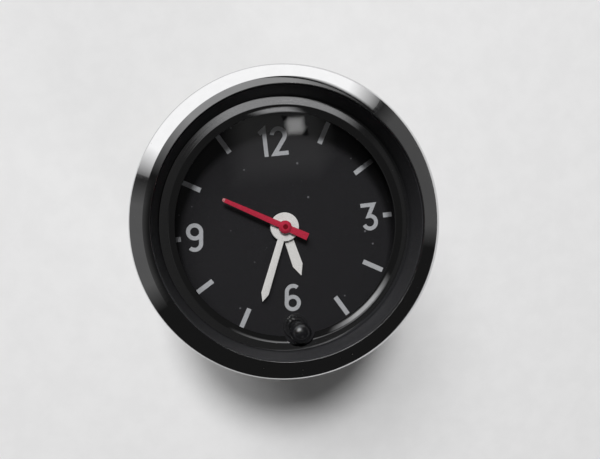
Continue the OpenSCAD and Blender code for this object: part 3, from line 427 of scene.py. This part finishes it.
# Terminals and lamp: a moulded block with two riveted brass blades, and a push-fit holder for the dial lamp.
# The block is brown resin, the holder pale nylon, and the bulb a small clear glass capsule.
brown_resin = finish("brown_resin", (0.045, 0.026, 0.015), (0.085, 0.052, 0.030), (0.34, 0.55), grain_mm=0.5,
                     bump_mm=0.008, dust=(1.4, 0.06, (0.16, 0.13, 0.10)), worn=(0.15, 0.10, 0.07))
blade_brass = finish("tinned_blade_brass", (0.56, 0.44, 0.24), (0.74, 0.62, 0.38), (0.22, 0.40), grain_mm=0.6,
                     bump_mm=0.003, metallic=1.0, smudge_mm=3.0)
holder_nylon = finish("lamp_holder_nylon", (0.66, 0.62, 0.52), (0.78, 0.75, 0.65), (0.36, 0.52), grain_mm=0.5,
                      bump_mm=0.005, dust=(1.6, 0.06, (0.40, 0.36, 0.28)))
bulb_glass = bpy.data.materials.new("bulb_glass")
bulb_glass.use_nodes = True
bulb_tree = bulb_glass.node_tree
bulb_shader = bulb_tree.nodes["Principled BSDF"]
bulb_shader.inputs["Base Color"].default_value = (0.95, 0.93, 0.86, 1.0)
bulb_shader.inputs["Transmission Weight"].default_value = 1.0
bulb_shader.inputs["IOR"].default_value = 1.5
bulb_smudges = place_effect(bulb_tree, smudges, Size=2.0)
feed(bulb_tree, bulb_shader.inputs["Roughness"], spread(bulb_tree, bulb_smudges, 0.0, 1.0, 0.02, 0.12))
dress(brown_resin, "terminal_block")
dress(blade_brass, "terminal_blades")
dress(bright_steel, "terminal_rivets")
dress(holder_nylon, "lamp_holder")
dress(bulb_glass, "lamp_bulb")
soften(0.4, "terminal_block")
soften(0.15, "terminal_blades")
soften(0.25, "lamp_holder")

# Dial: a steel plate sprayed flat charcoal, with hour marks and figures printed in pale grey.
# Years under the lens have left dust on it.
dial_paint = finish("flat_charcoal_paint", (0.0172, 0.0168, 0.0184), (0.0275, 0.0270, 0.0294), (0.55, 0.72),
                    grain_mm=0.22, bump_mm=0.006, smudge_mm=16.0, dust=(1.5, 0.17, (0.15, 0.15, 0.16)))
print_ink = finish("pale_printing_ink", (0.43, 0.44, 0.46), (0.54, 0.55, 0.57), (0.50, 0.66), grain_mm=0.18,
                   bump_mm=0.002, smudge_mm=5.0)
dress(dial_paint, "dial")
dress(print_ink, "hour_marks", "numerals")

# Spacer and gasket: a black ring sets the lens off the dial, and a rubber ring beds the lens.
# Both are pressed in from the front, under the reveal.
black_ring = finish("black_moulding", (0.010, 0.010, 0.011), (0.018, 0.018, 0.019), (0.45, 0.62),
                    grain_mm=0.3, bump_mm=0.006)
gasket_rubber = finish("gasket_rubber", (0.012, 0.012, 0.012), (0.022, 0.022, 0.022), (0.60, 0.78),
                       grain_mm=0.2, bump_mm=0.008)
dress(black_ring, "dial_spacer")
dress(gasket_rubber, "lens_gasket")

# Hour and minute hands: stamped from thin sheet with a faint ridge along the middle, sprayed off-white.
# Each has a wide round boss pushed onto its pipe.
hand_t = 0.30
hand_ridge = 0.10
boss_r = 3.15
hour_bore_r = 1.9
minute_bore_r = 1.4
minute_collar_r = 1.9
# Each hand: width, length, degrees clockwise from twelve, and the height of its underside
hour_hand_size = (2.3, 11.4, 166.95, -6.70)
minute_hand_size = (1.7, 17.1, 203.4, -5.90)
neck_share = 0.42
point_share = 1.05
tip_half_w = 0.04
hand_white = finish("off_white_hand_paint", (0.76, 0.75, 0.73), (0.86, 0.85, 0.83), (0.36, 0.52),
                    grain_mm=0.25, bump_mm=0.003, smudge_mm=4.0, dust=(1.1, 0.05, (0.50, 0.48, 0.45)))


def stamped_blade(work, outline, level, thickness, ridge):
    """Closed blade from a half outline of (half width, length) points, raised along its middle line."""
    left = [work.verts.new((-w * mm, y * mm, (level + thickness - ridge) * mm)) for w, y in outline]
    crest = [work.verts.new((0, y * mm, (level + thickness) * mm)) for w, y in outline]
    right = [work.verts.new((w * mm, y * mm, (level + thickness - ridge) * mm)) for w, y in outline]
    left_foot = [work.verts.new((-w * mm, y * mm, level * mm)) for w, y in outline]
    right_foot = [work.verts.new((w * mm, y * mm, level * mm)) for w, y in outline]
    rows = (left_foot, left, crest, right, right_foot)
    for a, b in zip(rows, rows[1:] + rows[:1]):
        for i in range(len(outline) - 1):
            work.faces.new((a[i], a[i + 1], b[i + 1], b[i]))
    for i in (0, len(outline) - 1):
        work.faces.new([row[i] for row in rows])
    bmesh.ops.recalc_face_normals(work, faces=work.faces)


def clock_hand(name, size, boss):
    width, length, angle, level = size
    work = bmesh.new()
    stamped_blade(work, [(width * neck_share, boss_r / 2), (width / 2, length - width * point_share),
                         (tip_half_w, length)], level, hand_t, hand_ridge)
    disc = turned_mesh(name + "_boss", rounded_outline(boss), closed=False, steps=128)
    work.from_mesh(disc)
    bpy.data.meshes.remove(disc)
    bmesh.ops.rotate(work, verts=work.verts, matrix=Matrix.Rotation(-math.radians(angle), 3, "Z"))
    mesh = bpy.data.meshes.new(name)
    work.to_mesh(mesh)
    work.free()
    return new_piece(name, mesh, 20)


hour_level = hour_hand_size[3]
hour_hand = clock_hand("white_hour_hand", hour_hand_size, [
    (hour_bore_r, hour_level, 0), (boss_r, hour_level, 0.08), (boss_r, hour_level + hand_t, 0.12),
    (hour_bore_r, hour_level + hand_t, 0), (hour_bore_r, hour_level, 0)])
hour_hand.data.materials.append(hand_white)
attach(hour_hand, "hour_work")
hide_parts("hour_hand")
minute_level = minute_hand_size[3]
minute_hand = clock_hand("white_minute_hand", minute_hand_size, [
    (minute_bore_r, minute_level, 0), (boss_r, minute_level, 0.08), (boss_r, minute_level + hand_t, 0.14),
    (minute_collar_r, minute_level + hand_t, 0.1), (minute_bore_r, minute_level + hand_t + 0.1, 0),
    (minute_bore_r, minute_level, 0)])
minute_hand.data.materials.append(hand_white)
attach(minute_hand, "minute_work")
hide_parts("minute_hand")

# Second hand: a narrow tapered strip with a broad tail, riveted to a small turned hub and sprayed red.
# The paint has worn from the tip. The hub's middle is sunk, and a darker red is painted in it as shade.
second_angle = 300.0
second_level = -4.90
second_tip = 14.7
second_tail = 5.4
second_ridge = 0.05
bared_length = 0.6
hub_r = 1.4
hub_top = -4.20
hub_sink = -4.37
hub_sink_r = 0.52
hub_neck_r = hub_r * 0.75
hub_neck_h = 0.4
# Half width of the strip and distance from the pivot, from tail to tip
second_outline = [(0.80, -second_tail), (0.74, -2.2), (0.66, 0.0), (0.62, 3.0), (0.42, second_tip - 0.55),
                  (0.40, second_tip - 0.3), (0.24, second_tip)]
second_red = finish("red_hand_paint", (0.46, 0.024, 0.052), (0.58, 0.036, 0.074), (0.32, 0.48), grain_mm=0.25,
                    bump_mm=0.003, smudge_mm=3.0)
# Painted shade: a darker red on the sunk middle of the hub stands in for the shade of the hollow.
hub_shade_red = finish("hub_red_painted_shade", (0.16, 0.004, 0.010), (0.22, 0.006, 0.014), (0.45, 0.60), grain_mm=0.15,
                  bump_mm=0.003)
bared_tip = finish("bared_hand_tip", (0.42, 0.08, 0.10), (0.60, 0.32, 0.32), (0.40, 0.55), grain_mm=0.4,
                   bump_mm=0.002)
second_work = bmesh.new()
stamped_blade(second_work, second_outline, second_level, hand_t, second_ridge)
for face in second_work.faces:
    face.material_index = 2 if face.calc_center_median().y > (second_tip - bared_length) * mm else 0
hub = turned_mesh("second_hub", rounded_outline([
    (hub_sink_r, second_level - hub_neck_h, 0), (hub_neck_r, second_level - hub_neck_h, 0),
    (hub_neck_r, second_level, 0), (hub_r, second_level, 0.05), (hub_r, second_level + hand_t + 0.05, 0.12),
    (0.85, hub_top, 0.2), (0.55, hub_top, 0.08), (hub_sink_r, hub_sink, 0), (0, hub_sink, 0)]),
    closed=False, steps=96)
first_hub_face = len(second_work.faces)
second_work.from_mesh(hub)
bpy.data.meshes.remove(hub)
second_work.faces.ensure_lookup_table()
for face in second_work.faces[first_hub_face:]:
    face.material_index = 1 if face.calc_center_median().xy.length < (hub_sink_r + 0.01) * mm else 0
second_turn = Matrix.Rotation(-math.radians(second_angle), 3, "Z")
bmesh.ops.rotate(second_work, verts=second_work.verts, matrix=second_turn)
second_mesh = bpy.data.meshes.new("red_second_hand")
second_work.to_mesh(second_mesh)
second_work.free()
second_hand = new_piece("red_second_hand", second_mesh, 25)
for paint in (second_red, hub_shade_red, bared_tip):
    second_hand.data.materials.append(paint)
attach(second_hand, "seconds_work")
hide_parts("second_hand")

# Setting knob: a glossy black ball end moulded on the stem that comes through dial and lens.
# A black eyelet with a rolled lip is set in the dial and guides its shank.
knob_place = (0.0, -22.5)
knob_under = 0.94
knob_r = 2.35
knob_roll = 0.12
knob_black = finish("glossy_black_knob", (0.006, 0.006, 0.007), (0.011, 0.011, 0.012), (0.16, 0.26),
                    grain_mm=0.4, bump_mm=0.0004, smudge_mm=1.5, coat=0.6)
stem_black = finish("satin_black_stem", (0.010, 0.010, 0.011), (0.022, 0.022, 0.023), (0.26, 0.40),
                    grain_mm=0.2, bump_mm=0.003, smudge_mm=1.5)
collar_black = finish("satin_black_eyelet", (0.014, 0.014, 0.015), (0.026, 0.026, 0.028), (0.16, 0.28),
                      grain_mm=0.3, bump_mm=0.0006, smudge_mm=1.5, coat=0.5)
dome = [(knob_r * math.cos(math.radians(a)),
         knob_under + knob_roll + (knob_r - knob_roll) * math.sin(math.radians(a))) for a in range(8, 90, 6)]
knob = turned("ball_knob", [(1.0, knob_under + 0.25), (1.45, knob_under), (knob_r - 0.18, knob_under),
                            (knob_r - 0.04, knob_under + 0.08)] + dome + [(0, knob_under + knob_r)],
              centre=knob_place, closed=False, steps=96)
knob.data.materials.append(knob_black)
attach(knob, "setting_stem")
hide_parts("setting_knob")
dress(stem_black, "setting_stem")
eyelet_hole_r = 1.55
eyelet_pipe_r = eyelet_hole_r + 0.4
eyelet_lip_r = 2.8
eyelet_seat_z = -7.0
eyelet_foot_z = eyelet_seat_z - 1.1
eyelet_lip_z = eyelet_seat_z + 0.65
eyelet_top_z = eyelet_seat_z + 0.95
eyelet = turned("rolled_eyelet", rounded_outline([
    (eyelet_hole_r, eyelet_foot_z, 0), (eyelet_pipe_r, eyelet_foot_z, 0), (eyelet_pipe_r, eyelet_seat_z, 0),
    (eyelet_lip_r, eyelet_seat_z, 0), (eyelet_lip_r, eyelet_lip_z, 0.3),
    (eyelet_lip_r - 0.65, eyelet_lip_z, 0.25), (eyelet_hole_r + 0.5, eyelet_seat_z + 0.35, 0.05),
    (eyelet_hole_r + 0.45, eyelet_top_z, 0.2), (eyelet_hole_r, eyelet_top_z, 0.15)]),
    centre=knob_place, steps=96)
eyelet.data.materials.append(collar_black)
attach(eyelet, "case")
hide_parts("stem_collar")

# Lens: a clear moulding with a shallow dome, a bevelled edge and a flange, and a hole for the knob's shank.
# The reveal holds it by its flange on the rubber ring.
lens_edge = (25.0, -0.6)
lens_foot = (26.2, -1.4)
lens_flange = (28.6, -2.6)
lens_dome_r = 260.0
lens_top_z = 0.605
lens_t = 1.6
lens_skirt_r = 25.3
lens_hole_r = 1.8
drill_reach = 4
clear_lens = bpy.data.materials.new("clear_lens")
clear_lens.use_nodes = True
tree = clear_lens.node_tree
shader = tree.nodes["Principled BSDF"]
shader.inputs["Base Color"].default_value = (0.985, 0.985, 0.985, 1.0)
shader.inputs["Transmission Weight"].default_value = 1.0
shader.inputs["IOR"].default_value = 1.49
lens_smudges = place_effect(tree, smudges, Size=9.0)
feed(tree, shader.inputs["Roughness"], spread(tree, lens_smudges, 0.0, 1.0, 0.0, 0.03))
lamp_light = tree.nodes.new("ShaderNodeBsdfTransparent")
lamp_light.inputs["Color"].default_value = (0.92, 0.92, 0.92, 1.0)
either = tree.nodes.new("ShaderNodeMixShader")
tree.links.new(tree.nodes.new("ShaderNodeLightPath").outputs["Is Shadow Ray"], either.inputs[0])
tree.links.new(shader.outputs[0], either.inputs[1])
tree.links.new(lamp_light.outputs[0], either.inputs[2])
tree.links.new(either.outputs[0], tree.nodes["Material Output"].inputs["Surface"])


def dome_height(r):
    return lens_top_z - r * r / (2 * lens_dome_r)


lens_top = [(r, dome_height(r)) for r in (0.0, 1.0, 3.0, 6.0, 9.0, 12.0, 15.0, 18.0, 20.0, 22.0, 23.5)]
lens_rim = rounded_outline([(*lens_edge, 0), (*lens_foot, 0), (lens_flange[0], lens_foot[1], 0.1),
                            (*lens_flange, 0.1), (lens_skirt_r, lens_flange[1], 0.1),
                            (lens_skirt_r, dome_height(lens_skirt_r) - lens_t, 0)])
lens_under = [(r, dome_height(r) - lens_t) for r in (22.0, 19.0, 16.0, 12.0, 8.0, 4.0, 0.0)]
lens = turned("clear_lens", lens_top + lens_rim + lens_under, closed=False, steps=320)


def drill_through(piece, hole_r, sharp_degrees=28):
    """Cuts a round hole through a piece at the knob's place."""
    rod = [(0, -drill_reach), (hole_r, -drill_reach), (hole_r, drill_reach), (0, drill_reach)]
    drill = turned("drill", rod, centre=knob_place, closed=False, steps=64)
    hole = piece.modifiers.new("hole for the shank", "BOOLEAN")
    hole.object = drill
    hole.solver = "EXACT"
    holed = bpy.data.meshes.new_from_object(piece.evaluated_get(bpy.context.evaluated_depsgraph_get()))
    piece.modifiers.clear()
    piece.data = holed
    bpy.data.objects.remove(drill)
    for face in holed.polygons:
        face.use_smooth = True
    holed.set_sharp_from_angle(angle=math.radians(sharp_degrees))
    holed.materials.clear()


drill_through(lens, lens_hole_r)
lens.data.materials.append(clear_lens)
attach(lens, "case")
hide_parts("lens")

# Lens band: a thin ring turned from aluminium that lies on the lens's edge, inside the foot of the reveal.
# Its flat face and inner cove keep the fine rings of the lathe, and a bite clears the knob when pushed in.
band_inner = (23.38, -0.46)
band_crest_r = 24.78
band_outer_r = 26.5
band_tilt = 0.8
band_bite_r = 3.3
band_seat = (25.05, -0.55)
band_t = 0.3
band_edge_w = 0.1
# The cove's slope in degrees, at its inner edge and at the crest
cove_start = 22.0
cove_end = 36.0
cove_steps = 12
aluminium = finish("turned_aluminium", (0.66, 0.66, 0.67), (0.76, 0.76, 0.77), (0.05, 0.09), grain_mm=0.2,
                   bump_mm=0.002, metallic=1.0, smudge_mm=5.0, rings_mm=0.13)
cove = [band_inner]
for k in range(cove_steps):
    slope = math.radians(cove_start + (cove_end - cove_start) * (k + 0.5) / cove_steps)
    step = (band_crest_r - band_inner[0]) / cove_steps
    cove.append((cove[-1][0] + step, cove[-1][1] + step * math.tan(slope)))
band_crest_z = cove[-1][1]
band_edge_z = band_crest_z - (band_outer_r - band_crest_r) * math.tan(math.radians(band_tilt))
band_drop = math.tan(math.radians(band_tilt)) * band_edge_w
band = turned("lens_band", cove[:-1] + rounded_outline([
    (*cove[-2], 0), (band_crest_r, band_crest_z, 0.02),
    (band_crest_r + band_edge_w, band_crest_z - band_drop, 0),
    (band_outer_r - band_edge_w, band_edge_z + band_drop, 0), (band_outer_r, band_edge_z, 0.04),
    (band_outer_r, band_edge_z - band_t, 0), (lens_foot[0], lens_foot[1] + 0.15, 0), (*band_seat, 0)])[1:],
    steps=320)
drill_through(band, band_bite_r)
band.data.materials.append(aluminium)
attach(band, "case")

# Reveal: a funnel moulded in matte black, from the bezel's lip down to the lens.
# Its flange lies on the mouth of the can, and the bezel clamps it there.
reveal_foot = (26.35, -1.4)
reveal_top = (27.55, 4.55)
reveal_waist = (26.75, 0.9)
reveal_shoulder = (28.35, 4.04)
reveal_out_r = 28.9
reveal_flange_r = 31.1
reveal_flange_low = 1.5
reveal_flange_high = 1.9
reveal_flange_root = 2.4
reveal_black = finish("matte_black_reveal", (0.026, 0.026, 0.028), (0.040, 0.040, 0.043), (0.42, 0.56),
                      grain_mm=0.35, bump_mm=0.008, smudge_mm=10.0, dust=(1.5, 0.05, (0.10, 0.10, 0.10)))
reveal = turned("black_reveal", rounded_outline([
    (*reveal_foot, 0.15), (reveal_out_r, reveal_foot[1], 0), (reveal_out_r, reveal_flange_low, 0),
    (reveal_flange_r, reveal_flange_low, 0), (reveal_flange_r, reveal_flange_high, 0),
    (reveal_out_r, reveal_flange_root, 0), (*reveal_shoulder, 0), (*reveal_top, 0.1), (*reveal_waist, 1.5)]))
reveal.data.materials.append(reveal_black)
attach(reveal, "case")
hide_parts("reveal_ring")

# Bezel: a ring spun from thin brass sheet, polished and chromed, with one broad and one narrow facet.
# Its rear lip is rolled over the flange of the can, and the chrome has a few pits and finger marks.
bezel_r = 32.25
bezel_sheet = 0.7
bezel_rim_z = 2.3
bezel_crest = (29.2, 4.6)
bezel_lip = (27.65, 5.4)
bezel_lip_r = 30.3
bezel_rim_fillet = 0.95
bezel_back_fillet = 0.45
bezel_crest_fillet = 0.45
bezel_lip_fillet = 0.06
inner_fillet = 0.1
facet_bow = 0.08
chrome = finish("polished_chrome", (0.685, 0.685, 0.69), (0.705, 0.705, 0.71), (0.03, 0.075), grain_mm=2.0,
                bump_mm=0.0005, metallic=1.0, smudge_mm=9.0, dust=(0.9, 0.035, (0.30, 0.28, 0.25)))


def bowed(start, end, bow, steps=10):
    """Points from start to just before end, along a line that bulges to its left by the bow."""
    start = Vector(start)
    along = Vector(end) - start
    aside = Vector((-along.y, along.x)).normalized()
    return [(*(start + along * (k / steps) + aside * bow * 4 * (k / steps) * (1 - k / steps)), 0)
            for k in range(1, steps)]


bezel = turned("chromed_bezel", rounded_outline(
    [(bezel_lip_r, 0, inner_fillet), (bezel_r, 0, bezel_back_fillet),
     (bezel_r, bezel_rim_z, bezel_rim_fillet)]
    + bowed((bezel_r, bezel_rim_z), bezel_crest, -facet_bow)[1:-1]
    + [(*bezel_crest, bezel_crest_fillet), (*bezel_lip, bezel_lip_fillet),
       (bezel_lip[0], bezel_lip[1] - bezel_sheet, inner_fillet),
       (bezel_crest[0] - 0.23, bezel_crest[1] - bezel_sheet, 0.2),
       (bezel_r - bezel_sheet, bezel_rim_z - bezel_sheet + 0.1, inner_fillet),
       (bezel_r - bezel_sheet, bezel_sheet, inner_fillet),
       (bezel_lip_r, bezel_sheet, inner_fillet)]), steps=512)
bezel.data.materials.append(chrome)
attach(bezel, "case")
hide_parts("bezel")

# Table: a wide sheet of pale paper under the clock, which lies on its back.
floor_z = -50.0
floor_half = 900.0
floor_mesh = bpy.data.meshes.new("pale_table")
floor_mesh.from_pydata([(x * floor_half * mm, y * floor_half * mm, floor_z * mm)
                        for x, y in ((-1, -1), (1, -1), (1, 1), (-1, 1))], [], [(0, 1, 2, 3)])
table = bpy.data.objects.new("pale_table", floor_mesh)
bpy.context.collection.objects.link(table)
table.data.materials.append(finish("pale_paper", (0.808, 0.806, 0.808), (0.834, 0.832, 0.834), (0.80, 0.95),
                                   grain_mm=6.0, bump_mm=0.01, smudge_mm=60.0))

# Studio cards: a pale card behind twelve o'clock, grey ones above and beside it, and two small ones above.
# They stand before a dark wall round the clock, and two soft boxes hang overhead, one wide and dim, one small.
# Each is one plain grey with soft edges, and shows only as a reflection in chrome, lens and knob.
wall_r = 280.0
wall_low = -48.0
wall_high = 560.0
wall_level = 0.012
card_gap = 2.0
card_step = 2
# Each card: degrees clockwise from twelve at both ends, degrees and height in which it fades, edges and level
round_cards = {"pale_card": (-64, 50, 14, 14.0, (-47.0, 78.0), 1.3),
               "upper_grey_card": (-60, 46, 30, 40.0, (98.0, 190.0), 0.35),
               "left_grey_card": (-120, -62, 12, 80.0, (-47.0, 80.0), 0.12),
               "right_grey_card": (48, 104, 8, 80.0, (-47.0, 80.0), 0.09),
               "high_left_card": (-54, -4, 18, 40.0, (250.0, 400.0), 0.5),
               "high_low_card": (156, 182, 8, 40.0, (250.0, 400.0), 0.3)}
# Each soft box: middle, half its width and depth, how far its edge fades, height and level
soft_boxes = {"wide_soft_box": ((80.0, 170.0), (70.0, 45.0), 50.0, 519.0, 0.3),
              "small_soft_box": ((114.0, 196.0), (11.0, 9.0), 14.0, 518.0, 5.0)}
card_work = bmesh.new()
card_tint = card_work.verts.layers.float_color.new("card_tint")


def card_point(place, level):
    point = card_work.verts.new([c * mm for c in place])
    point[card_tint] = (level, level, level, 1.0)
    return point


def card_sheet(rows):
    for row, next_row in zip(rows, rows[1:]):
        for k in range(len(row) - 1):
            card_work.faces.new((row[k], row[k + 1], next_row[k + 1], next_row[k]))


def on_wall(degrees, r, height):
    return (r * math.sin(math.radians(degrees)), r * math.cos(math.radians(degrees)), height)


card_sheet([[card_point(on_wall(degrees, wall_r, height), wall_level) for height in (wall_low, wall_high)]
            for degrees in range(-180, 181, card_step)])
for first, last, side_fade, top_fade, (low_edge, high_edge), level in round_cards.values():
    columns = []
    for degrees in range(first, last + 1, card_step):
        shown = min(1.0, (degrees - first) / side_fade, (last - degrees) / side_fade)
        tone = wall_level + (level - wall_level) * shown
        columns.append([card_point(on_wall(degrees, wall_r - card_gap, height), row_tone) for height, row_tone
                        in ((low_edge, tone), (high_edge, tone), (high_edge + top_fade, wall_level))])
    card_sheet(columns)
for (middle_x, middle_y), (half_w, half_d), fade, height, level in soft_boxes.values():
    card_sheet([[card_point((middle_x + x, middle_y + y, height),
                            level if abs(x) <= half_w and abs(y) <= half_d else wall_level)
                 for x in (-half_w - fade, -half_w, half_w, half_w + fade)]
                for y in (-half_d - fade, -half_d, half_d, half_d + fade)])
card_mesh = bpy.data.meshes.new("studio_cards")
card_work.to_mesh(card_mesh)
card_work.free()
cards = bpy.data.objects.new("studio_cards", card_mesh)
bpy.context.collection.objects.link(cards)
card_paint = bpy.data.materials.new("studio_card_paint")
card_paint.use_nodes = True
tree = card_paint.node_tree
tree.nodes.remove(tree.nodes["Principled BSDF"])
tint = tree.nodes.new("ShaderNodeAttribute")
tint.attribute_name = "card_tint"
glow = tree.nodes.new("ShaderNodeEmission")
tree.links.new(tint.outputs["Color"], glow.inputs["Color"])
tree.links.new(glow.outputs[0], tree.nodes["Material Output"].inputs["Surface"])
cards.data.materials.append(card_paint)
cards.visible_camera = False
cards.visible_diffuse = False
cards.visible_shadow = False
cards.visible_transmission = False
cards.visible_volume_scatter = False

# Lamps: a soft key high behind twelve o'clock, a wider one lower to its left, and a weak fill at lower right.
# A small catch light shines on the knob and its eyelet only, and the sky is dim and even.
# Each lamp: degrees clockwise from twelve, degrees up, metres away, metres across and watts
lamps = {"soft_key": (-6, 60.5, 2.4, 0.54, 38.5), "wide_side_lamp": (-25, 47, 2.4, 1.15, 25.5),
         "weak_fill": (150, 35, 2.4, 0.9, 5.6), "knob_catch_light": (-27, 48, 0.36, 0.22, 3.2)}
for name, (bearing, height, distance, size, watts) in lamps.items():
    lamp_data = bpy.data.lights.new(name, "AREA")
    lamp_data.shape = "DISK"
    lamp_data.size = size
    lamp_data.energy = watts
    lamp = bpy.data.objects.new(name, lamp_data)
    aim = Matrix.Rotation(-math.radians(bearing), 3, "Z") @ Matrix.Rotation(math.radians(height), 3, "X")
    lamp.location = aim @ Vector((0, distance, 0))
    lamp.rotation_euler = (-lamp.location).to_track_quat("-Z", "Y").to_euler()
    lamp.visible_camera = False
    lamp.visible_transmission = False
    bpy.context.collection.objects.link(lamp)
    if name == "knob_catch_light":
        lamp.visible_diffuse = False
        lamp_data.cycles.use_multiple_importance_sampling = False
        lamp.light_linking.receiver_collection = bpy.data.collections.new("catch_light_pieces")
        for piece in (knob, eyelet):
            lamp.light_linking.receiver_collection.objects.link(piece)
    else:
        lamp.visible_glossy = False

sky_level = 0.025
sky_grey = (0.825, 0.825, 0.825, 1.0)
sky = bpy.data.worlds.new("pale_sky")
sky.use_nodes = True
bpy.context.scene.world = sky
tree = sky.node_tree
seen = tree.nodes.new("ShaderNodeLightPath")
backdrop = tree.nodes["Background"]
backdrop.inputs["Color"].default_value = sky_grey
feed(tree, backdrop.inputs["Strength"], spread(tree, seen.outputs["Is Camera Ray"], 0.0, 1.0, sky_level, 1.0))

# Camera: close above the dial and a little to its left, turned so that twelve leans to the left.
camera_place = Vector((-15.157, 1.700, 109.283)) * mm
camera_right = Vector((0.98546, -0.11605, 0.12409))
camera_up = Vector((0.13051, 0.98468, -0.11563))
camera_data = bpy.data.cameras.new("camera")
camera_data.sensor_width = 36.0
camera_data.lens = 31.36
camera_data.shift_x = 0.03245
camera_data.shift_y = 0.0986
camera_data.clip_start = 0.005
camera_data.clip_end = 20.0
camera = bpy.data.objects.new("camera", camera_data)
bpy.context.collection.objects.link(camera)
turned_to = Matrix((camera_right, camera_up, camera_right.cross(camera_up))).transposed()
camera.matrix_world = Matrix.Translation(camera_place) @ turned_to.to_4x4()
bpy.context.scene.camera = camera
bpy.context.scene.view_settings.view_transform = "Standard"
